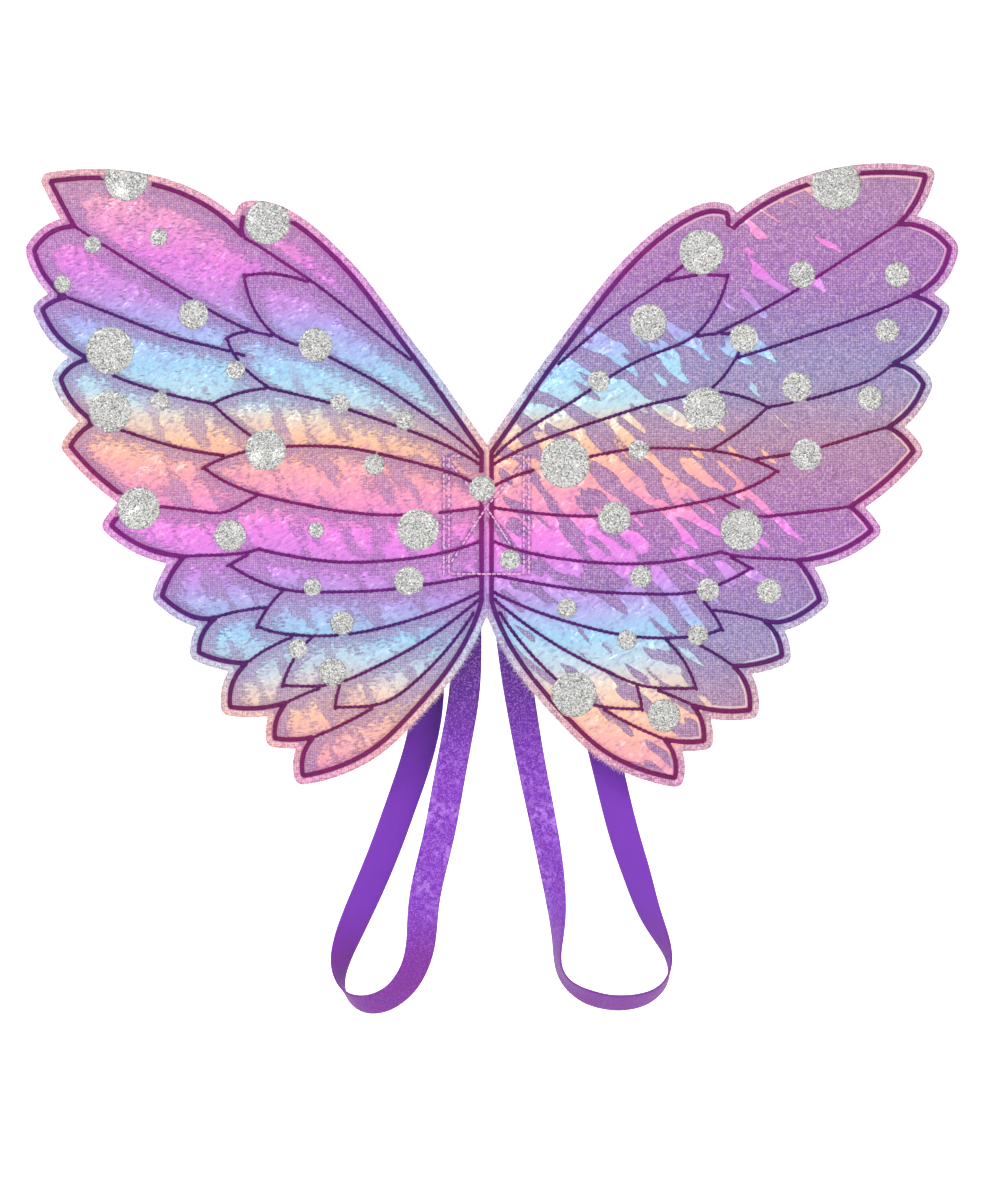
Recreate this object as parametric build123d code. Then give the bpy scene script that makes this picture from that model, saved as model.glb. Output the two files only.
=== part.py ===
from build123d import *
import math
import os

# Fairy wings for a child: two quilted butterfly halves joined at a fold, a sewn
# back patch, and two elastic strap loops.
#
# Axes: +X to the right seen from the decorated side, +Z up, decorated side
# toward -Y, wearer toward +Y.  The origin is the centre of the back patch on
# its wearer-side face.  Everything flat is drawn in (x, z) and given a depth
# measured from the patch face toward the decorated side.

# ---------------------------------------------------------------- thicknesses
PATCH_T = 2.4          # felt patch, pressed over the strap ends
BACKING_T = 0.4        # plain backing cloth
FOAM_T = 3.0           # foam interlining
COVER_T = 0.4          # foil fabric
THREAD_T = 0.5         # embroidery standing on the foil fabric
BOBBIN_T = 0.3         # the same seams seen on the backing cloth
GLITTER_T = 0.6        # printed glitter dots

BACKING_AT = PATCH_T
FOAM_AT = BACKING_AT + BACKING_T
COVER_AT = FOAM_AT + FOAM_T
FRONT_AT = COVER_AT + COVER_T

# ---------------------------------------------------------------- plan sizes
HINGE_X = 24.0         # bend lines beside the patch
HINGE_GAP = 1.0        # cut between the centre panel and a wing
MARGIN = 4.5           # raw fabric left outside the outline
OUTLINE_W = 2.8        # satin-stitched outline
LINE_W = 1.4           # feather lines
BOX_W = 0.8            # patch stitching
ROW_X = 2.5            # outline rows either side of the fold channel
ROW_TOP = 31.5
ROW_BOTTOM = -43.0
THREAD_GAP = 0.15      # between neighbouring stitch lines
LEFT_SIZE = 0.974      # the left half is cut slightly smaller
LEFT_LEAN = 0.012      # and sits slightly higher toward its tip

PATCH_W = 47.0
PATCH_H = 65.0
BOX_HALF_W = 21.3      # patch stitching, outer row
BOX_HALF_H = 29.5
BOX_ROWS = 2.6         # between the two side rows
BOX_MIDDLE = 4.0       # height of the crossing of the X

STRAP_W = 16.0
STRAP_T = 1.2
STRAP_CUT = 0.5        # between a strap and the patch edge it leaves
POCKET_PLAY = 0.3
STRAP_SECTIONS = 110

# ---------------------------------------------------------------- right wing
# Outline feather by feather, from the top of the fold round to its foot.
# Each feather is (leading edge, trailing edge) and the two meet in its tip.
FEATHERS = [
    ([(ROW_X, ROW_TOP), (11.75, 44.5), (26.75, 66.5), (46.75, 93.5), (66.75, 119),
      (86.75, 138.5), (101.75, 148.5), (111.75, 152), (120.25, 151)],
     [(120.25, 151), (121, 145), (119, 139)]),
    ([(119, 139), (134.25, 152.5), (156.75, 164), (176.75, 169.5), (196.75, 171.5),
      (219.75, 170)],
     [(219.75, 170), (214.25, 156), (205.75, 145.5)]),
    ([(205.75, 145.5), (221.75, 142.5), (231.75, 133.5)],
     [(231.75, 133.5), (224.75, 118), (212.75, 110)]),
    ([(212.75, 110), (221.75, 106.5), (227.25, 102.5)],
     [(227.25, 102.5), (218.75, 87.5), (202.75, 75.5)]),
    ([(202.75, 75.5), (212.25, 72.5), (218.75, 65.5)],
     [(218.75, 65.5), (212.25, 53.5), (200.75, 44)]),
    ([(200.75, 44), (207.75, 39.5), (213.75, 32)],
     [(213.75, 32), (198.75, 16.5), (181.75, 4.25)]),
    ([(181.75, 4.25), (187.75, -1), (192.75, -7.5)],
     [(192.75, -7.5), (176.25, -18), (155.25, -22.5)]),
    ([(155.25, -22.5), (162.25, -32), (166.75, -42.5)],
     [(166.75, -42.5), (158.25, -49), (146.75, -53.5), (138.25, -52.5)]),
    ([(138.25, -52.5), (144.25, -58.5), (147.75, -70.5)],
     [(147.75, -70.5), (135.25, -74.5), (123.25, -75.5)]),
    ([(123.25, -75.5), (129.25, -83), (131.75, -97.5)],
     [(131.75, -97.5), (117.75, -98), (102.75, -95)]),
    ([(102.75, -95), (107.25, -102), (108.75, -113)],
     [(108.75, -113), (99.25, -113.5), (88.75, -112)]),
    ([(88.75, -112), (93.75, -120), (94.25, -131.5)],
     [(94.25, -131.5), (76.75, -127), (56.75, -116.5), (39.25, -100), (24.25, -83),
      (12.75, -66.5), (ROW_X, ROW_BOTTOM)]),
]

# Feather lines.  Where two meet, the later one stops against the earlier one.
FEATHER_LINES = [
    [(119, 139), (106.75, 131.5), (97.25, 124), (84.25, 114.25), (66.75, 102),
     (51.75, 89.5), (34.75, 74.5)],
    [(120.75, 119.5), (115.25, 104.5), (102.75, 89), (84.75, 81), (62.25, 69.5),
     (41.75, 56), (16.75, 40.5), (3.75, 29)],
    [(88.75, 116.5), (101.75, 119.5), (120.75, 119.5)],
    [(205.75, 145.5), (185.75, 132.5), (166.75, 120), (145.75, 107), (125.25, 96),
     (115.25, 91)],
    [(103.5, 89), (116.75, 90.75), (129.75, 90)],
    [(129.75, 90), (124.75, 78.5), (117.75, 68.5), (110.75, 62)],
    [(110.75, 62), (99.75, 59.5), (84.25, 56), (61.75, 49), (41.75, 42.5), (24.25, 36),
     (3.75, 25.5)],
    [(212.75, 110), (190.75, 100.5), (166.75, 92), (144.25, 84.5), (125.25, 78.5)],
    [(110.75, 62), (121.75, 60.75), (131.75, 58), (140.75, 54)],
    [(140.75, 54), (129.25, 44), (112.25, 32.75)],
    [(202.75, 75.5), (195.25, 69.5), (179.25, 63), (159.25, 57.5), (140.75, 54)],
    [(4.75, 15), (14.25, 19.5), (25.75, 23), (50.75, 29), (69.25, 32.5), (89.25, 33.5),
     (112.25, 32.25), (131.75, 28), (145.25, 22)],
    [(200.75, 44), (185.25, 39.5), (167.25, 34), (151.75, 30.5), (132.75, 28)],
    [(145.25, 22), (130.75, 13.5), (106.75, 6.5), (81.75, 2), (56.25, -0.5),
     (29.25, 0.5), (4.25, 3.5)],
    [(181.75, 4.25), (169.25, 2.5), (146.75, 0), (135.25, -0.25), (127.25, 3),
     (117.25, 8.5)],
    [(155.25, -22.5), (135.25, -21.5), (124.25, -20.25), (117.25, -18.5)],
    [(117.25, -18.5), (101.75, -21.5), (79.25, -24.25), (54.25, -23.75), (31.75, -21),
     (14.25, -17), (4.25, -13.5)],
    [(117.25, -18.5), (125.75, -23), (132.25, -26.5)],
    [(132.25, -26.5), (119.25, -33.5), (103.75, -38.5), (81.75, -39.5), (56.75, -38.5),
     (31.75, -35.25), (4.25, -30.25)],
    [(103.75, -38.5), (111.75, -47), (117.75, -57)],
    [(117.75, -57), (105.25, -60.5), (96.75, -61.25), (84.25, -61.5), (65.25, -59.5),
     (44.25, -54.5), (21.75, -47), (4.25, -39)],
    [(138.25, -52.5), (126.75, -49.5), (112.25, -47.5)],
    [(123.25, -75.5), (109.25, -66.5), (96.75, -61.25)],
    [(89.25, -62), (96.25, -69.5), (101.75, -78.5), (104.75, -86.5)],
    [(104.75, -86.5), (91.75, -86.75), (76.75, -85), (60.75, -78.5), (41.75, -69),
     (22.75, -57), (4.25, -42.5)],
    [(102.75, -95), (89.25, -89), (76.75, -85)],
    [(74.75, -84.5), (76.75, -91), (77.75, -97)],
    [(77.75, -97), (62.75, -96.5), (55.25, -95.25), (35.75, -83), (21.75, -69),
     (11.75, -56.5), (4.75, -45.5)],
    [(88.75, -112), (71.75, -104.5), (55.25, -95.25)],
]

# The left half mirrors the right one, but its four top feathers are drawn anew.
LEFT_FEATHERS = {
    0: ([(-ROW_X, ROW_TOP), (-11.75, 44.5), (-26.75, 66), (-46.75, 92.5), (-66.75, 119),
         (-80.75, 133.5), (-93.25, 144), (-107, 151.5), (-120.25, 152.5)],
        [(-120.25, 152.5), (-122.5, 146), (-121.75, 139)]),
    1: ([(-121.75, 139), (-130.75, 148), (-143.25, 156.5), (-158.25, 163), (-176, 167.25),
         (-196, 168.75), (-218.25, 167)],
        [(-218.25, 167), (-212.75, 156.5), (-206.25, 144.5)]),
    2: ([(-206.25, 144.5), (-216.25, 142.25), (-226.25, 132.5)],
        [(-226.25, 132.5), (-222.25, 122), (-210.25, 109)]),
    3: ([(-210.25, 109), (-217, 106.75), (-222.25, 103)],
        [(-222.25, 103), (-213.5, 88.5), (-197.5, 77.9)]),
}
LEFT_LINES = {
    0: [(-121.75, 139), (-112.25, 133.5), (-103.25, 127.5), (-88.25, 117.5),
        (-68.25, 102), (-48.25, 85.5), (-33.75, 74.5)],
    1: [(-121.25, 119.5), (-119.5, 111), (-113.5, 98.5), (-104.5, 89.25), (-88, 83),
        (-70.75, 75), (-53.25, 65.5), (-35.75, 53.75), (-18.25, 41.5), (-3.75, 29)],
    2: [(-85, 115), (-97, 119), (-108, 120.75), (-121.25, 119.5)],
    3: [(-206.25, 144.5), (-192.25, 135.5), (-173.25, 123.5), (-155.75, 113),
        (-139.25, 103), (-123.25, 94.5), (-117.25, 92)],
    4: [(-104.25, 89), (-112.25, 90.75), (-121, 91.5), (-129.75, 88.5)],
    5: [(-129.75, 88.5), (-127, 81.5), (-120, 72.5), (-108, 63.3)],
    7: [(-210.25, 109), (-192.25, 102.5), (-173.25, 95), (-153.25, 88), (-135.75, 83.75),
        (-122, 80)],
}

# ---------------------------------------------------------------- glitter dots
# (x, z, radius), scattered differently on each side
DOTS = [
    (174.75, 165, 12.5), (107.5, 131.5, 11.25), (81, 96.25, 9.25), (157.75, 120.25, 6.75),
    (205.25, 120.25, 6.25), (200.25, 92.25, 6), (128.75, 88.5, 7.25), (56.25, 67, 5.5),
    (155.25, 64, 7.5), (191.75, 58.5, 6.25), (109, 53.5, 10.75), (39.25, 26, 12.5),
    (76.25, 32.5, 5.25), (160, 30.25, 8), (64, -1.5, 8.25), (127.5, -7.25, 10.5),
    (77.25, -31, 5.5), (110.75, -37.5, 5.75), (141.25, -38, 6.25), (40.25, -46.5, 5),
    (70.25, -62.5, 5), (105.75, -60, 5.25), (43.75, -89.75, 11.25), (88.75, -100.25, 8.25),
    (-2.25, 13.25, 6.5), (11.75, -22.5, 5.25),
    (-180.25, 168, 11), (-109.5, 146.5, 11.25), (-163.75, 138.75, 4.5),
    (-197, 135.25, 4.25), (-212, 115.5, 4.25), (-146.5, 100.25, 7.5),
    (-188.25, 82.25, 12), (-85.5, 85, 8.5), (-125.5, 72.5, 4.75), (-163.5, 57, 4.75),
    (-73.25, 55.75, 5), (-188.25, 51.75, 10.5), (-41, 47.25, 4.75), (-110.5, 32.5, 10.25),
    (-56.25, 25.25, 5.25), (-174, 3.25, 10.75), (-34.25, -7.25, 10.5),
    (-128.25, -10.25, 8), (-85, -7.5, 4), (-38.75, -33, 7.5), (-87, -36.25, 4.5),
    (-72.25, -54, 6), (-94.25, -67, 5), (-77, -78.5, 7),
]

# ---------------------------------------------------------------- straps
# (x, y, z, twist) from the end under the patch foot, down the inner arm, round
# the bottom and up the outer arm.  Twist 0 turns the glitter face to the
# decorated side, 180 to the wearer.
LEFT_STRAP = [
    (-10.5, -1.4, -20, 0), (-10.5, -1.4, -27, 0), (-10.5, -1.4, -34, 0),
    (-10.5, -0.6, -48, 2), (-10.4, 1, -66, 8), (-10.6, 2.6, -83.5, 15),
    (-15.5, 4.6, -115, 14), (-20.5, 5.8, -142.5, 11), (-24.3, 6.8, -162.5, 10),
    (-29.3, 7.5, -182.5, 10), (-32.3, 8, -202.5, 14), (-32.6, 8.5, -212.5, 20),
    (-33.9, 9, -221, 26), (-36.6, 9.5, -229, 31), (-41.5, 10.2, -237, 35),
    (-48.5, 11.2, -243.4, 38), (-56.8, 12.6, -246.8, 42), (-64.3, 14.2, -247, 52),
    (-69.8, 15.6, -244.4, 70), (-73.4, 16.8, -239.4, 92), (-75.2, 17.9, -232.5, 112),
    (-74.4, 18.6, -225, 130), (-70.2, 19, -212.5, 148), (-61.5, 18.8, -192.5, 160),
    (-52, 17.8, -170, 165), (-42, 16, -142.5, 168), (-33.9, 14, -118, 171),
    (-29.4, 11.8, -92, 174), (-31, 9.6, -55, 178), (-33.8, 8.2, -20, 180),
    (-34.3, 7.8, 10, 180),
]
RIGHT_STRAP = [
    (10.5, -1.4, -20, 0), (10.5, -1.4, -27, 0), (10.5, -1.4, -34, 0),
    (11.2, -0.6, -48, 2), (12.8, 1, -62.5, 9), (15.25, 2.8, -82.5, 17),
    (18.5, 4.2, -102.5, 23), (22, 5.4, -122.5, 27), (26, 6.4, -142.5, 30),
    (30, 7.5, -162.5, 34), (33.4, 8, -182.5, 42), (35.6, 9, -202.5, 58),
    (35.6, 10.2, -214, 72), (35.2, 11.6, -224, 82), (37.6, 13.6, -233, 76),
    (43.8, 15.6, -239, 64), (51.3, 17, -243.2, 57), (60, 18.6, -245.8, 56),
    (70, 20.2, -246.4, 56), (79, 21.6, -245.2, 60), (86.6, 22.8, -241.8, 68),
    (91.6, 23.6, -236.6, 77), (93.6, 24, -229, 90), (92, 24, -221, 106),
    (87.4, 23.6, -211.5, 124), (81.2, 22.6, -198, 139), (76.4, 21.2, -182.5, 152),
    (71.4, 19.6, -167.5, 160), (64.8, 17.4, -143, 165), (57.4, 14.4, -112, 169),
    (48.6, 11.6, -76, 173), (40.2, 9.4, -38, 177), (35.4, 8.2, -8, 180),
    (34.3, 7.8, 10, 180),
]
# (x, y, z, lean) on from there, right side: folded over the top of the wing and
# back down to the end under the patch top.  Lean drops the outer edge.
STRAP_FOLD = [
    (34, 7.7, 22, -3), (32.9, 7.4, 31, -5), (30.6, 6.8, 38.5, 2), (27.4, 4.6, 43.2, 12),
    (24.2, 1.4, 44, 14), (21.2, -0.4, 41.9, 22), (18, -1.2, 38.1, 33),
    (14, -1.4, 33, 37.7), (9.9, -1.4, 27.7, 37.7),
]


# ---------------------------------------------------------------- drawing help
def place(point, side):
    """A right-wing point, or its slightly smaller mirror image for side -1."""
    x, z = point
    if side > 0 or abs(x) <= ROW_X:
        return (side * x, z)
    return (-LEFT_SIZE * x, z + LEFT_LEAN * x)


def curve(points):
    if len(points) == 2:
        return Line(*points).edge()
    return Spline(*points).edge()


def half_outline(side):
    """Closed stitched outline of one half, as a face lying in the XY plane."""
    corner = (side * ROW_X, ROW_TOP)
    edges = []
    for i, feather in enumerate(FEATHERS):
        if side < 0 and i in LEFT_FEATHERS:
            feather_edges = LEFT_FEATHERS[i]
        else:
            feather_edges = [[place(p, side) for p in points] for points in feather]
        for points in feather_edges:
            edges.append(curve([corner] + points[1:]))
            corner = points[-1]
    edges.append(curve([corner, (side * ROW_X, ROW_TOP)]))
    face = Face(Wire(edges))
    if face.normal_at().Z < 0:
        face = -face
    return face, edges


def grown(face, amount):
    """The face offset in its plane, its rim redrawn as plain curves."""
    rim = []
    for edge in offset(face, amount, kind=Kind.ARC).faces()[0].outer_wire().edges():
        count = max(1, int(edge.length / 2.5))
        rim.append(curve([edge.position_at(i / count) for i in range(count + 1)]))
    return Face(Wire(rim))


def plate(sketch, depth, thickness):
    """Solids of a flat piece that starts at a depth and grows to the front."""
    solids = []
    for face in sketch.faces():
        raised = Pos(0, 0, depth) * extrude(face, amount=thickness, dir=(0, 0, 1))
        solids.extend((Plane.XZ * raised).solids())
    return solids


def ribbon(edge, width):
    """Face of constant width along an edge."""
    count = max(3, int(edge.length / 4))
    upper = []
    lower = []
    for i in range(count + 1):
        p = edge.position_at(i / count)
        t = edge.tangent_at(i / count)
        across = Vector(-t.Y, t.X, 0) * (width / 2)
        upper.append(p + across)
        lower.append(p - across)
    lower.reverse()
    rim = [Spline(*upper).edge(), Line(upper[-1], lower[0]).edge()]
    rim += [Spline(*lower).edge(), Line(lower[-1], upper[0]).edge()]
    return Face(Wire(rim))


def panel(low, high):
    """A strip of the drawing plane between two x values."""
    return Pos((low + high) / 2, 0) * Rectangle(high - low, 600)


PANELS = {
    "left": panel(-300, -HINGE_X - HINGE_GAP / 2),
    "centre": panel(-HINGE_X + HINGE_GAP / 2, HINGE_X - HINGE_GAP / 2),
    "right": panel(HINGE_X + HINGE_GAP / 2, 300),
}


def panel_of(x):
    if abs(x) < HINGE_X:
        return "centre"
    return "right" if x > 0 else "left"


class PlacedThreads:
    """Remembers where thread already lies, so that lines never overlap."""

    CELL = 6.0

    def __init__(self):
        self.cells = {}

    def add(self, edge, width):
        count = max(2, int(edge.length / 0.5))
        for i in range(count + 1):
            p = edge.position_at(i / count)
            key = (int(p.X // self.CELL), int(p.Y // self.CELL))
            self.cells.setdefault(key, []).append((p.X, p.Y, width))

    def is_free(self, x, y, width):
        column = int(x // self.CELL)
        row = int(y // self.CELL)
        for i in (column - 1, column, column + 1):
            for j in (row - 1, row, row + 1):
                for px, py, other in self.cells.get((i, j), ()):
                    reach = (width + other) / 2 + THREAD_GAP
                    if math.hypot(px - x, py - y) < reach:
                        return False
        return True


def free_runs(edge, width, threads, blocked):
    """Parts of an edge that touch no thread, no blocked area and no hinge line."""
    count = max(4, int(edge.length / 0.4))
    hinge_reach = HINGE_GAP / 2 + 0.6 * width
    runs = []
    start = None
    for i in range(count + 1):
        p = edge.position_at(i / count)
        free = abs(abs(p.X) - HINGE_X) > hinge_reach
        free = free and not blocked(p.X, p.Y, width)
        free = free and threads.is_free(p.X, p.Y, width)
        if free and start is None:
            start = i
        if start is not None and (not free or i == count):
            end = i if free else i - 1
            if (end - start) * edge.length / count > 2.0:
                runs.append(edge.trim(start / count, end / count))
            start = None
    return runs


def thread_lines(edges, width, threads, blocked):
    """Ribbon faces along the free parts of the edges, sorted by panel."""
    ribbons = {"left": [], "centre": [], "right": []}
    for edge in edges:
        runs = free_runs(edge, width, threads, blocked)
        for run in runs:
            ribbons[panel_of(run.position_at(0.5).X)].append(ribbon(run, width))
            threads.add(run, width)
    return ribbons


# ---------------------------------------------------------------- sheets
right_face, right_edges = half_outline(1)
left_face, left_edges = half_outline(-1)
outline_edges = right_edges + left_edges

channel_top = ROW_TOP + 4.0
channel_bottom = ROW_BOTTOM - 5.5
channel = Pos(0, (channel_top + channel_bottom) / 2) * Rectangle(
    2 * ROW_X, channel_top - channel_bottom)
fabric = channel + grown(right_face, MARGIN) + grown(left_face, MARGIN)

dot_discs = [Pos(x, z) * Circle(r) for x, z, r in DOTS]


def inside_dot(x, y, width):
    for cx, cy, r in DOTS:
        if math.hypot(x - cx, y - cy) < r + width / 2 + THREAD_GAP:
            return True
    return False


def under_patch(x, y, width):
    reach = width / 2 + THREAD_GAP
    return abs(x) < PATCH_W / 2 + reach and abs(y) < PATCH_H / 2 + reach


# ---------------------------------------------------------------- stitching
rings = Sketch()
for half in (right_face, left_face):
    rings += grown(half, OUTLINE_W / 2) - grown(half, -OUTLINE_W / 2)
front_rings = rings
for x, z, r in DOTS:
    front_rings = front_rings - Pos(x, z) * Circle(r + THREAD_GAP)
back_rings = rings - Rectangle(PATCH_W + 2 * THREAD_GAP, PATCH_H + 2 * THREAD_GAP)

line_edges = [curve(points) for points in FEATHER_LINES]
for i, points in enumerate(FEATHER_LINES):
    line_edges.append(curve(LEFT_LINES.get(i, [place(p, -1) for p in points])))

box_edges = []
for row_x in (-BOX_HALF_W, -BOX_HALF_W + BOX_ROWS, BOX_HALF_W - BOX_ROWS, BOX_HALF_W):
    box_edges.append(curve([(row_x, -BOX_HALF_H), (row_x, BOX_HALF_H)]))
for row_z in (-BOX_HALF_H, BOX_HALF_H):
    box_edges.append(curve([(-BOX_HALF_W, row_z), (BOX_HALF_W, row_z)]))
for corner_z in (-BOX_HALF_H, BOX_HALF_H):
    for corner_x in (-BOX_HALF_W, BOX_HALF_W):
        box_edges.append(curve([(corner_x, corner_z), (0, BOX_MIDDLE)]))

front_threads = PlacedThreads()
back_threads = PlacedThreads()
patch_threads = PlacedThreads()
for outline_edge in outline_edges:
    front_threads.add(outline_edge, OUTLINE_W)
    back_threads.add(outline_edge, OUTLINE_W)

front_lines = thread_lines(line_edges, LINE_W, front_threads, inside_dot)
back_lines = thread_lines(line_edges, LINE_W, back_threads, under_patch)
front_box = thread_lines(box_edges, BOX_W, front_threads, inside_dot)
patch_box = thread_lines(box_edges, BOX_W, patch_threads, lambda x, y, width: False)


def thread_solids(sketches, on_front):
    depth = FRONT_AT if on_front else BACKING_AT - BOBBIN_T
    thickness = THREAD_T if on_front else BOBBIN_T
    solids = []
    for sketch in sketches:
        solids.extend(plate(sketch, depth, thickness))
    return solids


# ---------------------------------------------------------------- straps
def strap_band(hanging):
    """One elastic band lofted along its stations."""
    side = 1 if hanging[0][0] > 0 else -1
    stations = hanging + [(side * x, y, z, lean) for x, y, z, lean in STRAP_FOLD]
    last_hanging = len(hanging) - 1
    path = Spline(*[(x, y, z) for x, y, z, turn in stations]).edge()
    marks = [path.param_at_point(Vector(x, y, z)) for x, y, z, turn in stations]
    marks[0] = 0.0
    marks[-1] = 1.0
    sections = []
    for i in range(STRAP_SECTIONS + 1):
        u = i / STRAP_SECTIONS
        k = max(j for j in range(len(marks) - 1) if marks[j] <= u)
        share = (u - marks[k]) / (marks[k + 1] - marks[k])
        before = 0 if k == last_hanging else stations[k][3]
        angle = math.radians(before + share * (stations[k + 1][3] - before))
        tangent = path.tangent_at(u)
        if k >= last_hanging:
            across = Vector(side * math.cos(angle), 0, -math.sin(angle))
        else:
            flat = tangent.cross(Vector(0, side, 0)).normalized()
            front = flat.cross(tangent) * -side
            across = flat * math.cos(angle) + front * math.sin(angle)
        plane = Plane(origin=path.position_at(u), x_dir=across,
                      z_dir=tangent - across * tangent.dot(across))
        sections.append(plane * Rectangle(STRAP_W, STRAP_T))
    return loft(sections, ruled=True)


patch_zone = Box(PATCH_W + 2 * STRAP_CUT, 200, PATCH_H + 2 * STRAP_CUT)
patch_block = Box(PATCH_W, 200, PATCH_H)
left_band = strap_band(LEFT_STRAP)
right_band = strap_band(RIGHT_STRAP)
strap_ends = (left_band & patch_block).solids() + (right_band & patch_block).solids()

patch = Plane.XZ * extrude(Rectangle(PATCH_W, PATCH_H), amount=PATCH_T, dir=(0, 0, 1))
for side in (-1, 1):
    for stations in (RIGHT_STRAP[:2], STRAP_FOLD[:-3:-1]):
        near, far = stations
        run = math.hypot(far[0] - near[0], far[2] - near[2])
        lean = math.degrees(math.atan2(far[0] - near[0], far[2] - near[2]))
        depth = PATCH_T + near[1] + STRAP_T / 2 + POCKET_PLAY
        pocket = Box(STRAP_W + POCKET_PLAY, depth, 2 * run + POCKET_PLAY)
        pocket = Rot(0, side * lean, 0) * Pos(0, 0, run) * pocket
        patch -= Pos(side * near[0], -PATCH_T + depth / 2, near[2]) * pocket
box_in_patch = []
for sketch in patch_box["centre"]:
    box_in_patch.extend(plate(sketch, 0, BOBBIN_T))
for thread in box_in_patch:
    patch -= thread

# ---------------------------------------------------------------- nodes
nodes = {}
for name, strip in PANELS.items():
    cut = fabric & strip
    nodes[name + "_front_cover"] = plate(cut, COVER_AT, COVER_T)
    nodes[name + "_foam_interlining"] = plate(cut, FOAM_AT, FOAM_T)
    nodes[name + "_backing_cloth"] = plate(cut, BACKING_AT, BACKING_T)
    discs = []
    for (x, z, r), disc in zip(DOTS, dot_discs):
        if panel_of(x) == name:
            discs.extend(plate(disc & cut, FRONT_AT, GLITTER_T))
    nodes[name + "_glitter_dots"] = discs
    outline = thread_solids([front_rings & strip], True)
    outline += thread_solids([back_rings & strip], False)
    feather = thread_solids(front_lines[name], True)
    feather += thread_solids(back_lines[name], False)
    nodes[name + "_outline_stitching"] = outline
    nodes[name + "_feather_stitching"] = feather

nodes["patch_box_stitching"] = thread_solids(front_box["centre"], True) + box_in_patch
nodes["back_patch"] = patch.solids()
nodes["strap_ends"] = strap_ends
nodes["left_strap"] = (left_band - patch_zone).solids()
nodes["right_strap"] = (right_band - patch_zone).solids()

os.makedirs("parts", exist_ok=True)
for name, solids in nodes.items():
    export_step(Compound(solids), "parts/" + name + ".step")
    print(name, len(solids))
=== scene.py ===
import math

import bpy
import numpy as np
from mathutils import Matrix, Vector, bvhtree, geometry, kdtree, noise


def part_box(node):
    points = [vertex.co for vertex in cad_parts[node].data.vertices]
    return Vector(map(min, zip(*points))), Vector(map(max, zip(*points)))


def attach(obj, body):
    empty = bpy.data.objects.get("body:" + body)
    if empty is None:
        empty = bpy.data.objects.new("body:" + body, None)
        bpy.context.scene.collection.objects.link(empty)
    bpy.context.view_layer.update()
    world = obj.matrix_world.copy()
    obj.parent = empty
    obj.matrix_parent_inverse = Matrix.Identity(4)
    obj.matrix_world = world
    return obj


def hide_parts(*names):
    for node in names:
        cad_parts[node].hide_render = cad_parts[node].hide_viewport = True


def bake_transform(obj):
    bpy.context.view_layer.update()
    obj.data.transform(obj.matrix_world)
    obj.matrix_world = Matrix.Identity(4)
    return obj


# Looks of the quilted fairy wings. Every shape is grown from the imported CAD
# meshes. Lengths are in mm, plan points are (x, z), and a depth d lies at
# y = -d; textures read places in units of 0.1 m.
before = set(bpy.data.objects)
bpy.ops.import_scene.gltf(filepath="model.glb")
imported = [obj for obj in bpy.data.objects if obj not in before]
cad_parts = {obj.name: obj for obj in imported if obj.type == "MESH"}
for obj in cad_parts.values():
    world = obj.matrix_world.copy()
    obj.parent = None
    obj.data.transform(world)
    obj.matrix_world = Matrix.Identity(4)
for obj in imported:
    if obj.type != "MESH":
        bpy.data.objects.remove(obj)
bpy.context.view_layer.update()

MM = 0.001
SIDES = {"left": -1, "right": 1}

# Landmarks of the CAD's plan.
HINGE = 24.0            # bend line beside the patch, where the cloth is cut
HINGE_SLACK = 0.55      # how far a point on that cut may lie from it
ROW_X, ROW_LOW, ROW_HIGH = 4.6, -40.0, 29.0     # around the upright rows beside the fold
CHANNEL = 2.5           # half the bare strip between the rows
STRAP_END = 33.0        # where the elastics leave the patch, above and below
STRAP_T = 1.2

FACING = 0.9            # least cosine between a face that counts as flat and its direction
SHARP = 0.5             # greatest cosine between the two faces at a sharp edge

# Depths of the cloth.
FRONT_SEAM = 4.9        # front cover along its seams
FRONT_CAP = 3.0         # highest puff above them
BACK_SEAM = 3.5
BACK_CAP = 1.5
CLOTH = 0.4

# Sewing.
BAR = 0.36              # pitch of the satin threads
FEWEST_BARS = 6         # shorter runs are left out
SATIN_REACH = (1.9, 7)  # widths a satin stitch may have
SATIN_HALF = 1.5        # half the width pressed down by the outline stitching
LINE_HALF = 0.5         # and by a feather line
TUCK = 1.3              # how far a cut thread runs on under a dot or another thread
MARGIN = 4.5            # unpadded cloth outside the outline
SEAM_FREE = 0.3         # cloth nearer than this to a seam is held down
SHELTER = 11.0          # width of the worn band under a feather's upper edge
GRID = 2.3              # spacing of the cloth mesh
DOT_GRID = 1.3
PATCH_GRID = 1.9

# Stitches, as pitch, length, width and height.
FEATHER_FRONT = (2.7, 3.3, 1.7, 1.3)
FEATHER_BACK = (2.6, 2.3, 0.7, 0.5)
FEATHER_PROUD = 0.25    # how far their middle lies before the seam's floor
FEATHER_LEAN = 10       # degrees each of them is turned off its line
BOX_FRONT = (2.6, 2.3, 1.0, 0.9)
BOX_BACK = (2.6, 2.3, 0.8, 0.7)
SATIN_FRONT, SATIN_BACK = 1.05, 0.5     # heights of the satin ridges

# Relief of the cloth.
BOX_DENT = (0.8, 1.6)   # share of the height lost at the box seam, and the dent's width
CREASES = ((0.5, 11, 3.0, 3), (0.22, 3.6, 8.0, 2))      # height, size, seed, octaves
FLAT_SWELL = 0.45       # of the margin and the channel, away from their seams


# ---------------- paths
def unit(vectors):
    return vectors / (np.linalg.norm(vectors, axis=-1, keepdims=True) + 1e-12)


def run_of(path):
    """Distance travelled at every point of a path."""
    return np.concatenate([[0], np.cumsum(np.linalg.norm(np.diff(path, axis=0), axis=1))])


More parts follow.
